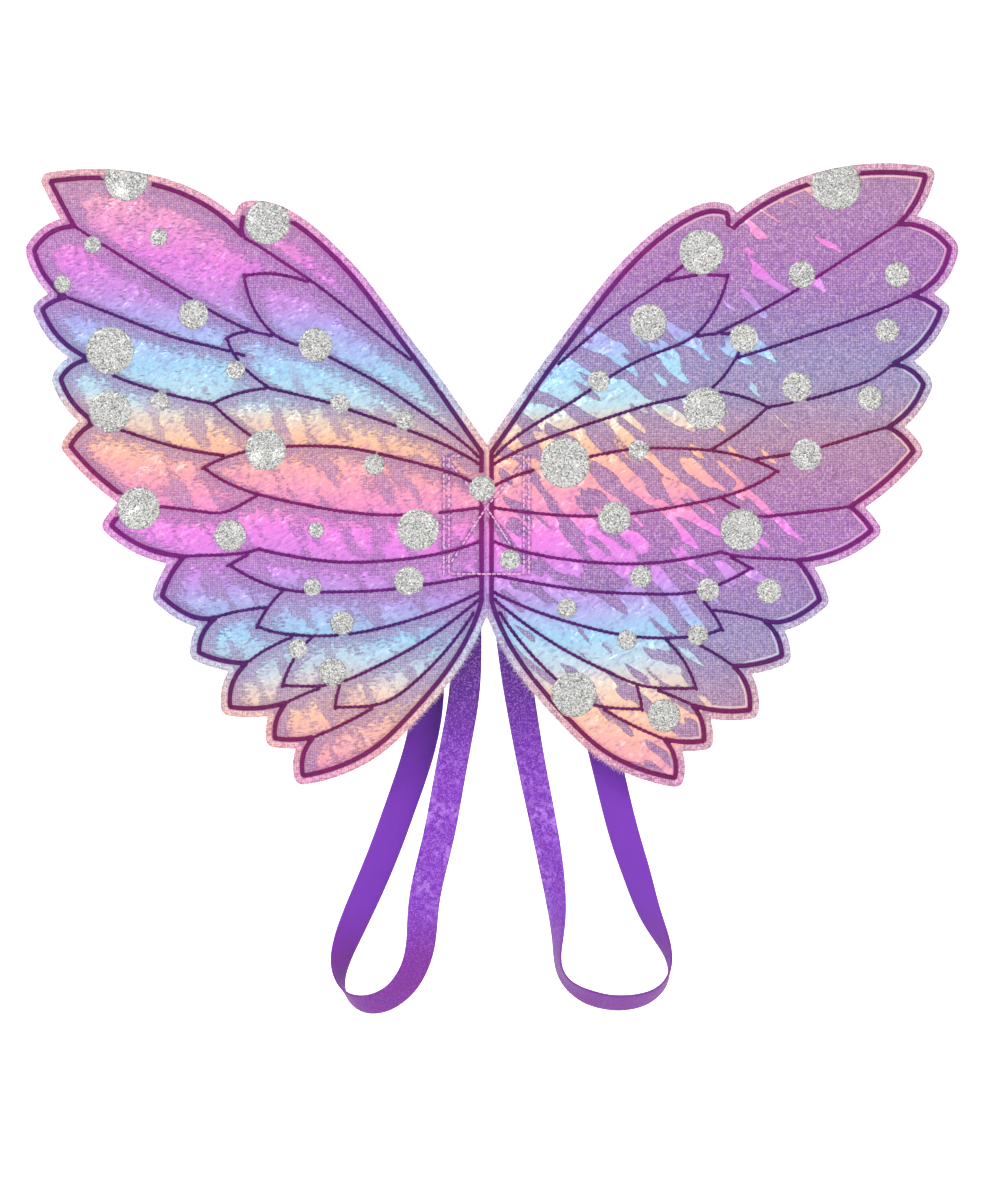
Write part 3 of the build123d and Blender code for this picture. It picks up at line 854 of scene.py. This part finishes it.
# ---------------- elastic loops
def strap_rails(node):
    """Both edges of a loop's wearer-away face, from patch top to patch foot, point by point."""
    paths = sharp_paths(*welded(node))
    far = [p for p in paths     # the long edges that reach the foot on that face
           if run_of(p)[-1] > 300 and abs(p[-1][2] + STRAP_END) < 1 and p[-1][1] < -1.6]
    rails = []
    for rail in sorted(far, key=lambda p: abs(p[-1][0]))[:2]:
        flaps = [p for p in paths       # the short edges of the fold at the patch top
                 if np.linalg.norm(p[-1] - rail[0]) < 0.05
                 and abs(p[0][2] - STRAP_END) < 1 and run_of(p)[-1] < 60]
        flap = min(flaps, key=lambda p: p[0][1])
        rails.append(np.vstack([evenly(flap, 9)[:-1], rail]))
    return np.stack(rails, axis=1)


def smoothed(path, rounds, start=1):
    """Averages points with their neighbours, but not the ends or the points before start."""
    path = path.copy()
    for _ in range(rounds):
        path[start:-1] = (path[start - 1:-2] + 2 * path[start:-1] + path[start + 1:]) / 4
    return path


def subdivided(path, times):
    at = np.linspace(0, len(path) - 1, (len(path) - 1) * times + 1)
    low = np.minimum(at.astype(int), len(path) - 2)
    share = (at - low)[:, None, None]
    return path[low] * (1 - share) + path[low + 1] * share


def tucked(rails):
    """Carries the end of a tape on under the patch."""
    step = unit((rails[-1] - rails[-4]).mean(0))
    step[1] = 0
    return np.concatenate([rails, [rails[-1] + step * 3, rails[-1] + step * 7]])


def strap(name, node):
    """An elastic tape with rounded edges that ends inside the patch."""
    rails = smoothed(strap_rails(node), 2, start=12)
    rails = both_ends(tucked, smoothed(subdivided(rails, 3), 3))
    spine, across = rails.mean(1), rails[:, 1] - rails[:, 0]
    normal = unit(np.cross(np.gradient(spine, axis=0), across))
    if normal[-1][1] < 0:
        normal = -normal
    for _ in range(4):
        normal[1:-1] = (normal[:-2] + normal[1:-1] + normal[2:]) / 3
    middle = spine + normal * STRAP_T / 2
    run = run_of(middle)
    share = np.sin(np.linspace(-math.pi / 2, math.pi / 2, 13))
    thick = 0.5 * STRAP_T * np.sqrt(1 - np.abs(share) ** 9) + 0.04
    ring = [(s, h, 1.0) for s, h in zip(share, thick)]
    ring += [(s, -h, -1.0) for s, h, _ in ring[::-1]]
    verts, data = [], []
    for i in range(len(middle)):
        curl = 0.12 * noise.noise((run[i] * 0.11, 5.0, 0.0))
        for s, h, face in ring:
            verts.append((middle[i] + across[i] * (s / 2) + normal[i] * (h + curl * s)) * MM)
            data.append((run[i], s, face))
    along, over, face = np.array(data).T
    faces = tube(0, len(middle), len(ring), caps=True)
    return piece(name, verts, faces, along=along, across=over, face=face)


# ---------------- materials
def rgb(red, green, blue):
    """Linear colour of a screen colour from 0 to 255."""
    out = []
    for v in (red / 255, green / 255, blue / 255):
        out.append(v / 12.92 if v < 0.04045 else ((v + 0.055) / 1.055) ** 2.4)
    return (*out, 1.0)


class Wire:
    """A value in a material's node tree; a sum or product of wires is a node as well."""

    def __init__(self, paint, socket):
        self.paint, self.socket = paint, socket

    def math(self, operation, other=0.0):
        return self.paint.node("ShaderNodeMath", {0: self, 1: other}, 0, operation=operation)

    def __add__(self, other):
        return self.math("ADD", other)

    def __sub__(self, other):
        return self.math("SUBTRACT", other)

    def __mul__(self, other):
        return self.math("MULTIPLY", other)

    def sine(self):
        return self.math("SINE")

    def size(self):
        return self.math("ABSOLUTE")

    def opposite(self):
        return self.paint.node("ShaderNodeMath", {0: 1.0, 1: self}, 0, operation="SUBTRACT")

    def step(self, low, high, start=0.0, end=1.0):
        """From start to end, softly, as the value goes from low to high."""
        return self.paint.node("ShaderNodeMapRange", {
            "Value": self, "From Min": low, "From Max": high, "To Min": start, "To Max": end},
            "Result", interpolation_type="SMOOTHSTEP")


class Paint:
    """A small builder of node materials."""

    def __init__(self, name):
        self.material = bpy.data.materials.new(name)
        self.material.use_nodes = True
        self.tree = self.material.node_tree
        self.rest = self.node("ShaderNodeAttribute", {}, "Vector", attribute_name="rest")

    def put(self, value, socket):
        if isinstance(value, Wire):
            self.tree.links.new(value.socket, socket)
        else:
            socket.default_value = value

    def node(self, kind, inputs, output, **settings):
        made = self.tree.nodes.new(kind)
        for key, value in settings.items():
            setattr(made, key, value)
        for key, value in inputs.items():
            self.put(value, made.inputs[key])
        return Wire(self, made.outputs[output])

    def number(self, name):
        """One of the numbers a piece carries for each vertex."""
        return self.node("ShaderNodeAttribute", {}, "Fac", attribute_name=name)

    def split(self, vector):
        return [self.node("ShaderNodeSeparateXYZ", {0: vector}, i) for i in range(3)]

    def vector(self, x, y, z):
        return self.node("ShaderNodeCombineXYZ", {0: x, 1: y, 2: z}, 0)

    def noise(self, scale, detail=2.0, rough=0.5, place=None):
        return self.node("ShaderNodeTexNoise", {
            "Vector": place or self.rest, "Scale": scale, "Detail": detail, "Roughness": rough},
            "Fac")

    def cells(self, scale, output):
        return self.node("ShaderNodeTexVoronoi", {"Vector": self.rest, "Scale": scale}, output)

    def mix(self, share, a, b):
        return self.node("ShaderNodeMix", {0: share, 6: a, 7: b}, 2, data_type="RGBA")

    def ramp(self, value, stops):
        """Colours along a value, from its lowest stop to its highest."""
        made = self.tree.nodes.new("ShaderNodeValToRGB")
        elements = made.color_ramp.elements
        low, high = stops[0][0], stops[-1][0]
        while len(elements) < len(stops):
            elements.new(0.5)
        for element, (at, colour) in zip(elements, stops):
            element.position = (at - low) / (high - low)
            element.color = rgb(*colour)
        self.put((value - low) * (1 / (high - low)), made.inputs[0])
        return Wire(self, made.outputs[0])

    def finish(self, obj, slot, relief, depth, strength, **sockets):
        """Gives a piece this material, with a relief of a depth in metres."""
        sockets["Normal"] = self.node("ShaderNodeBump", {
            "Height": relief, "Distance": depth, "Strength": strength}, 0)
        shader = self.tree.nodes["Principled BSDF"]
        for key, value in sockets.items():
            self.put(value, shader.inputs[key.replace("_", " ")])
        obj.data.materials.clear()
        obj.data.materials.append(self.material)


# Colour bands of the foil print and its threads, from the foot of the wing to its top.
BANDS = [
    (-1.34, (240, 150, 185)), (-1.18, (244, 168, 166)), (-1.00, (247, 192, 160)),
    (-0.87, (232, 208, 188)), (-0.76, (190, 208, 218)), (-0.59, (156, 204, 234)),
    (-0.40, (176, 156, 222)), (-0.27, (208, 136, 224)), (-0.08, (234, 128, 222)),
    (0.07, (241, 146, 190)), (0.22, (244, 164, 164)), (0.37, (247, 190, 150)),
    (0.50, (222, 208, 188)), (0.58, (182, 214, 224)), (0.74, (156, 206, 234)),
    (0.93, (166, 166, 226)), (1.06, (190, 136, 214)), (1.25, (224, 124, 216)),
    (1.48, (232, 148, 192)), (1.66, (240, 176, 168))]
THREADS = [
    (-1.34, (118, 10, 86)), (-1.05, (120, 12, 70)), (-0.85, (92, 14, 84)),
    (-0.59, (54, 12, 102)), (-0.38, (86, 8, 112)), (-0.08, (124, 6, 112)),
    (0.20, (126, 8, 76)), (0.38, (110, 12, 68)), (0.52, (74, 12, 88)),
    (0.75, (52, 12, 102)), (1.00, (80, 8, 110)), (1.25, (122, 6, 114)),
    (1.50, (122, 6, 98)), (1.66, (114, 8, 78))]
BAND_TILT = 0.04        # the bands sink towards the middle


def band(paint, stops):
    """The colour of the band a point lies in."""
    x, _, z = paint.split(paint.rest)
    tilt = (x.size() - 1.2) * -BAND_TILT * z.step(-0.9, -0.2)
    return paint.ramp(z + tilt + (paint.noise(1.6) - 0.5) * 0.16, stops)


def woven(paint, pitch):
    """Over and under of a plain weave, from 0 to 1."""
    x, _, z = paint.split(paint.rest)
    turn = 2 * math.pi / pitch * 0.7071
    return ((x + z) * turn).sine() * ((x - z) * turn).sine() * 0.5 + 0.5


def streaks(paint, angle, across, along, seed, ragged=0.12):
    """Noise drawn out along a line that falls to the right by an angle."""
    x, _, z = paint.split(paint.rest)
    c, s = math.cos(math.radians(angle)), math.sin(math.radians(angle))
    place = paint.vector((x * c - z * s) * along, (x * s + z * c) * across, seed)
    return paint.noise(1.0, 1.0, 0.4, place) + (paint.noise(80.0) - 0.5) * ragged


def left_foil(paint, reach, z):
    """Foil nearly everywhere, worn to mauve under the feather edges and in a few streaks."""
    grain = streaks(paint, -6, 92.0, 34.0, 5.0, 0.3) - 0.5
    zebra = (streaks(paint, 60, 13.0, 4.0, 3.0) + grain * 0.35).step(0.55, 0.62)
    middle = reach.step(2.0, 1.5) * z.step(0.85, 0.55)
    patchy = (paint.noise(16.0, 5.0, 0.7) - 0.5 + grain) * 1.5
    outer = z.step(0.7, 1.5, 0.0, 0.26) + paint.number("edge").step(19.0, 5.0, 0.0, 0.30)
    shade = (paint.number("above") + patchy + outer).step(0.20, 0.78)
    return (shade * 0.88).math("MAXIMUM", zebra * middle * 0.75).opposite()


def right_foil(paint, reach, z):
    """Foil streaks: dense near the middle, none towards the feather tips."""
    middle = reach.step(0.2, 1.1, 0.45, 0.55) + reach.step(1.1, 1.95, 0.0, 0.24)
    foot = reach.step(0.75, 1.3, 0.40, 0.76)
    top = (reach - 1.42).size() * 0.30 + 0.575
    mark = middle + z.step(0.75, 1.15) * (top - middle)
    mark = mark + z.step(-0.3, -0.6) * (foot - mark)
    return (streaks(paint, 42, 14.0, 3.9, 7.0, 0.07) - mark).step(-0.012, 0.012)


def foil_material(obj, side):
    """Iridescent foil over mauve cloth: mostly foil on the left, streaks on the right."""
    paint = Paint("foil_left" if side < 0 else "foil_right")
    x, _, z = paint.split(paint.rest)
    reach = x.size()
    foil = left_foil(paint, reach, z) if side < 0 else right_foil(paint, reach, z)
    hue = band(paint, BANDS)
    weave = woven(paint, 0.016)
    speck = paint.noise(85.0, 3.0, 0.6)
    fleck = streaks(paint, -32, 62.0, 27.0, 1.0, 0.45)
    fold = paint.noise(17.0, 4.0, 0.6)
    # foil: painted highlights for its glints and painted shade in its dark folds
    painted_crinkle_light = fleck * 0.55 + fold * 0.45
    bright = paint.mix(painted_crinkle_light.step(0.54, 0.76, 0.0, 0.46), hue, rgb(252, 244, 250))
    painted_fold_shade = paint.mix(0.5, hue, rgb(136, 84, 176))
    bright = paint.mix(painted_crinkle_light.step(0.49, 0.36, 0.0, 0.8), bright, painted_fold_shade)
    # on the left, fine dark flecks in the same painted fold shade
    if side < 0:
        bright = paint.mix(speck.step(0.50, 0.34, 0.0, 0.45), bright, painted_fold_shade)
    # cloth: light and dark threads
    over = weave * 0.55 + (speck - 0.35) * 1.9
    mauve = paint.mix(0.22, rgb(132, 96, 156), hue)
    mauve = paint.mix(over.step(0.55, 1.0, 0.0, 0.75), mauve, rgb(216, 186, 212))
    mauve = paint.mix(over.step(0.50, 0.1, 0.0, 0.75), mauve, rgb(92, 60, 128))
    colour = paint.mix(foil, mauve, bright)
    # painted shade in the valleys where stitches press the cloth down
    painted_seam_shade = paint.number("seam").step(1.5, 0.0, 0.0, 0.4)
    colour = paint.mix(painted_seam_shade, colour, paint.mix(0.5, hue, rgb(120, 36, 124)))
    # painted shade in the dents beside the box-and-cross seam
    sewn = paint.number("box").step(1.9, 0.7) * speck.step(0.62, 0.46)
    colour = paint.mix(sewn * 0.7, colour, rgb(112, 62, 142))
    edge = paint.number("edge")
    if side > 0:                                # a bright line inside the outline
        # painted highlight on the raised roll of cloth just inside the outline
        painted_rim_glint = edge.step(5.9, 6.2) * edge.step(7.2, 6.7) * reach.step(0.7, 1.1, 0.0, 0.75)
        colour = paint.mix(painted_rim_glint, colour, paint.mix(0.45, hue, rgb(255, 226, 232)))
    # raw margin
    ground = hue if side < 0 else paint.mix(0.5, hue, mauve)
    tuft = paint.noise(85.0, 4.0, 0.75) + weave * 0.12
    raw = paint.mix(tuft.step(0.46, 0.66), paint.mix(0.6, ground, rgb(158, 72, 146)),
                    paint.mix(0.35, ground, rgb(255, 236, 240)))
    colour = paint.mix(edge.step(3.3, 2.7, 0.0, 0.9), colour, raw)
    relief = (fleck * 0.5 + fold * 1.1) * foil + weave * foil.opposite() * 0.25
    paint.finish(obj, "foil_fabric", relief, 0.0011, 0.8, Base_Color=colour,
                 Metallic=foil * 0.25, Roughness=foil * -0.27 + 0.62, Sheen_Weight=0.1)


def thread_material(obj, slot):
    """Shiny embroidery thread, tinted by the band it crosses."""
    paint = Paint(obj.name)
    # painted highlight on the threads, stronger where their tone is higher
    light = paint.number("tone").step(-0.6, 0.9, 0.0, 0.14)
    colour = paint.mix(light, band(paint, THREADS), rgb(190, 84, 190))
    grain = paint.noise(170.0)
    colour = paint.mix(grain.step(0.52, 0.36, 0.0, 0.5), colour, rgb(52, 12, 70))
    paint.finish(obj, slot, grain, 0.0003, 0.6, Base_Color=colour, Roughness=0.55,
                 Specular_IOR_Level=0.22)


def pale_thread_material(obj):
    paint = Paint(obj.name)
    grain = paint.noise(150.0)
    colour = paint.mix(grain.step(0.38, 0.62), rgb(216, 140, 200), rgb(248, 200, 228))
    paint.finish(obj, "pale_thread", grain, 0.0002, 0.5, Base_Color=colour, Roughness=0.55,
                 Sheen_Weight=0.2)


def glitter_material(obj):
    """Silver flakes in clear binder: every flake has its own tone and tilt."""
    paint = Paint("glitter")
    tone, tilt, _ = paint.split(paint.cells(190.0, "Color"))
    shade = paint.ramp(tone, [
        (0.0, (96, 97, 100)), (0.2, (154, 154, 154)), (0.5, (198, 197, 194)),
        (0.8, (218, 217, 213)), (1.0, (252, 252, 250))])
    wear = paint.noise(30.0, 3.0, 0.6).step(0.66, 0.72)
    shade = paint.mix(wear * 0.5, shade, rgb(120, 96, 120))
    paint.finish(obj, "glitter", tilt + tone, 0.0005, 0.7, Base_Color=shade, Metallic=0.35,
                 Roughness=tilt * 0.4 + 0.28)


def backing_material(obj):
    """Plain woven backing cloth, a little pilled, with painted shade in its seams."""
    paint = Paint(obj.name)
    weave = woven(paint, 0.0085)
    cloud = paint.noise(7.0, 4.0, 0.6)
    slub = paint.noise(110.0)
    colour = paint.mix(cloud, rgb(206, 176, 220), rgb(190, 158, 210))
    colour = paint.mix(weave * 0.35, colour, rgb(228, 208, 236))
    colour = paint.mix(slub.step(0.46, 0.34, 0.0, 0.5), colour, rgb(160, 126, 186))
    # painted shade in the seam valleys
    colour = paint.mix(paint.number("seam").step(2.0, 0.0, 0.0, 0.3), colour, rgb(150, 112, 176))
    fray = paint.number("edge").step(3.0, 0.5, 0.0, 0.6) * slub.step(0.45, 0.6)
    colour = paint.mix(fray, colour, rgb(246, 236, 246))
    paint.finish(obj, "backing", weave * 0.35 + cloud, 0.0006, 0.7, Base_Color=colour,
                 Roughness=0.8, Sheen_Weight=0.3)


def foam_material(obj):
    paint = Paint(obj.name)
    pore = paint.cells(140.0, "Distance")
    colour = paint.mix(pore.step(0.1, 0.6), rgb(238, 226, 228), rgb(206, 190, 198))
    paint.finish(obj, "foam", pore, 0.0006, 0.8, Base_Color=colour, Roughness=0.9)


def fibre_material(obj):
    """Loose fibres: the band's colour, some bleached."""
    paint = Paint(obj.name)
    tone = paint.number("tone")
    colour = paint.mix(tone.step(0.35, 0.75), band(paint, BANDS), rgb(250, 236, 244))
    colour = paint.mix(tone.step(0.3, 0.05, 0.0, 0.6), colour, rgb(176, 92, 176))
    paint.finish(obj, "foil_fabric", paint.noise(120.0), 0.0002, 0.4, Base_Color=colour,
                 Roughness=0.75, Sheen_Weight=0.3)


def felt_material(obj):
    """Pressed felt: a tangle of fibres, lighter where it is rubbed at its edge."""
    paint = Paint(obj.name)
    x, y, z = paint.split(paint.rest)
    tangle = paint.noise(95.0, 5.0, 0.7)
    hair = paint.noise(60.0, 3.0, place=paint.vector(x * 3.0, y, z * 0.6))
    colour = paint.mix(tangle.step(0.35, 0.65), rgb(134, 92, 176), rgb(178, 140, 208))
    colour = paint.mix(hair.step(0.56, 0.68, 0.0, 0.5), colour, rgb(208, 182, 226))
    rubbed = paint.number("edge").step(1.4, 0.2, 0.0, 0.35)
    colour = paint.mix(rubbed, colour, rgb(212, 190, 230))
    paint.finish(obj, "patch_felt", tangle + hair * 0.5, 0.0006, 0.8, Base_Color=colour,
                 Roughness=0.92, Sheen_Weight=0.5)


def elastic_material(obj):
    """Elastic tape: glitter foil on one face, ribbed matte weave on the other."""
    paint = Paint(obj.name)
    _, _, z = paint.split(paint.rest)
    matte_side = paint.number("face").step(-0.2, 0.2)
    cord = (paint.number("across") * 60.0).sine() * (paint.number("along") * 9.5).sine()
    cord = cord * 0.5 + 0.5
    cloud = paint.noise(9.0, 3.0)
    tone, tilt, _ = paint.split(paint.cells(200.0, "Color"))
    low = z.step(-1.9, -2.3)
    base = paint.mix(low, rgb(130, 46, 196), rgb(132, 20, 160))
    # painted shadow: darker at the top, where the tape runs under the wings
    base = paint.mix(z.step(-1.45, -0.75) * 0.75, base, rgb(66, 22, 110))
    matte = paint.mix(cord * 0.25, base, rgb(160, 90, 222))
    matte = paint.mix(cloud * 0.15, matte, rgb(104, 34, 170))
    # painted highlight and painted shade: the crushed foil glints, with dark crumples between,
    # where the loop turns to the light
    painted_gloss = z.step(-1.0, -1.5) * z.step(-2.25, -1.8) * cloud.step(0.38, 0.60, 0.25, 1.0)
    crush = paint.noise(34.0, 3.0, 0.65)
    foil = paint.mix(painted_gloss * crush.step(0.44, 0.62), base, rgb(190, 128, 236))
    foil = paint.mix(painted_gloss * crush.step(0.44, 0.34, 0.0, 0.5), foil, rgb(104, 34, 160))
    # painted sparkle highlight on the brighter flakes, fainter towards the bottom
    painted_sparkle = tone.step(0.55, 1.0, 0.0, 0.6) * (low * -0.65 + 1.0)
    foil = paint.mix(painted_sparkle, foil, rgb(196, 128, 240))
    foil = paint.mix(tone.step(0.30, 0.0, 0.0, 0.6), foil, rgb(84, 24, 140))
    shiny = matte_side.opposite()
    relief = (tone + tilt) * shiny * 0.7 + cord * (matte_side * 0.5 + 0.25)
    paint.finish(obj, "elastic", relief, 0.0005, 0.8, Base_Color=paint.mix(matte_side, foil, matte),
                 Metallic=shiny * (low * -0.3 + 0.35), Roughness=shiny * -0.16 + 0.6,
                 Sheen_Weight=0.06)


# ---------------- assembly
def mesh_tree(objects):
    verts, faces = [], []
    for obj in objects:
        base = len(verts)
        verts += [v.co.copy() for v in obj.data.vertices]
        faces += [[base + i for i in p.vertices] for p in obj.data.polygons]
    return bvhtree.BVHTree.FromPolygons(verts, faces)


def add_to_wing(obj, half, *kinds):
    """Hides the CAD parts that a piece replaces and bakes its transform into its mesh."""
    if kinds:
        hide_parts(*nodes_of(half, *kinds))
    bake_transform(obj)


halves = [Half(name) for name in SIDES]
visible = []
for half in halves:
    cover = sheet(half.name + "_cover", half, front_y(half.height), -1)
    foil_material(cover, half.side)
    add_to_wing(cover, half, "_front_cover")

    backing = sheet(half.name + "_backing", half, back_y(half.height, half.plan), 1)
    backing_material(backing)
    add_to_wing(backing, half, "_backing_cloth")

    foam = padding(half.name + "_foam", half)
    foam_material(foam)
    add_to_wing(foam, half, "_foam_interlining")

    outline = joined(half.name + "_outline_threads", [
        satin("front", half.front_bars, FRONT_SEAM, 1, SATIN_FRONT),
        satin("back", half.back_bars, BACK_SEAM, -1, SATIN_BACK)])
    thread_material(outline, "outline_thread")
    add_to_wing(outline, half, "_outline_stitching")

    lines = joined(half.name + "_feather_threads", [
        dashes("front", half.front_lines, flat_at(FRONT_SEAM + FEATHER_PROUD), 1,
               FEATHER_FRONT, FEATHER_LEAN),
        dashes("back", half.back_lines, flat_at(BACK_SEAM), -1, FEATHER_BACK)])
    thread_material(lines, "feather_thread")
    add_to_wing(lines, half, "_feather_stitching")

    edge_fibres = fibres(half.name + "_edge_fibres", half, np.random.default_rng(11 + half.side))
    fibre_material(edge_fibres)
    add_to_wing(edge_fibres, half)
    visible.append((cover, outline, lines))

# covers first, then threads, as the dots and box seams lie on both
surface = mesh_tree([v[0] for v in visible] + [obj for v in visible for obj in v[1:]])
for half in halves:
    dots = glitter_dots(half.name + "_dots", half, surface_of(surface))
    glitter_material(dots)
    add_to_wing(dots, half, "_glitter_dots")

pad = patch_pad("patch_pad")
felt_material(pad)
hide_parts("back_patch")
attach(pad, "centre_panel")

box = joined("patch_threads", [
    dashes("front", box_lines(True), surface_of(surface), 1, BOX_FRONT),
    dashes("back", box_lines(False), flat_at(PATCH_THREAD), -1, BOX_BACK)])
pale_thread_material(box)
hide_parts("patch_box_stitching")
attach(box, "centre_panel")

for name in SIDES:
    tape = strap(name + "_elastic", name + "_strap")
    elastic_material(tape)
    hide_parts(name + "_strap", "strap_ends")
    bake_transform(tape)


# ---------------- stage, light, camera (in metres)
def bowl(name, radius, floor, height):
    """A white floor that rises all round into a wall."""
    corner = 0.8
    inner = radius - corner
    profile = [(0.0, floor), (inner, floor)]
    for angle in np.arange(1, 13) * math.pi / 24:
        profile.append((inner + corner * math.sin(angle), floor + corner * (1 - math.cos(angle))))
    profile.append((radius, floor + height))
    turns = np.arange(64) * 2 * math.pi / 64
    verts = [(r * math.cos(a), r * math.sin(a), z) for r, z in profile for a in turns]
    obj = new_object(name, verts, tube(0, len(profile), len(turns)))
    paint = Paint("paper")
    tooth = paint.noise(300.0, place=paint.node("ShaderNodeTexCoord", {}, "Object"))
    seen = paint.node("ShaderNodeLightPath", {}, "Is Camera Ray")
    paint.finish(obj, None, tooth, 0.0002, 0.2, Base_Color=rgb(250, 250, 250), Roughness=0.9,
                 Emission_Color=rgb(255, 255, 255), Emission_Strength=seen * 0.9 + 0.16)
    return obj


def lamp(name, place, size, power):
    """A round soft lamp that faces the wings."""
    data = bpy.data.lights.new(name, "AREA")
    data.shape = "DISK"
    data.size = size
    data.energy = power
    obj = bpy.data.objects.new(name, data)
    obj.location = place
    obj.rotation_euler = (-Vector(place)).to_track_quat("-Z", "Y").to_euler()
    bpy.context.scene.collection.objects.link(obj)
    return obj


bowl("floor", 4.0, -0.36, 3.2)
lamp("key", (-1.1, -1.7, 1.5), 0.8, 26)
lamp("fill", (1.5, -1.9, 0.5), 1.4, 9)
lamp("rear", (0.6, 2.0, 1.4), 1.2, 19)

world = bpy.data.worlds.new("studio")
world.use_nodes = True
background = world.node_tree.nodes["Background"]
background.inputs["Color"].default_value = (1, 1, 1, 1)
background.inputs["Strength"].default_value = 0.35
bpy.context.scene.world = world
bpy.context.scene.view_settings.view_transform = "Standard"

eye = bpy.data.cameras.new("camera")
eye.lens = 150
eye.clip_end = 20
camera = bpy.data.objects.new("camera", eye)
camera.location = (0.00675, -2.5065, -0.0425)       # level, far off and square on
camera.rotation_euler = (math.pi / 2, 0, 0)
bpy.context.scene.collection.objects.link(camera)
bpy.context.scene.camera = camera
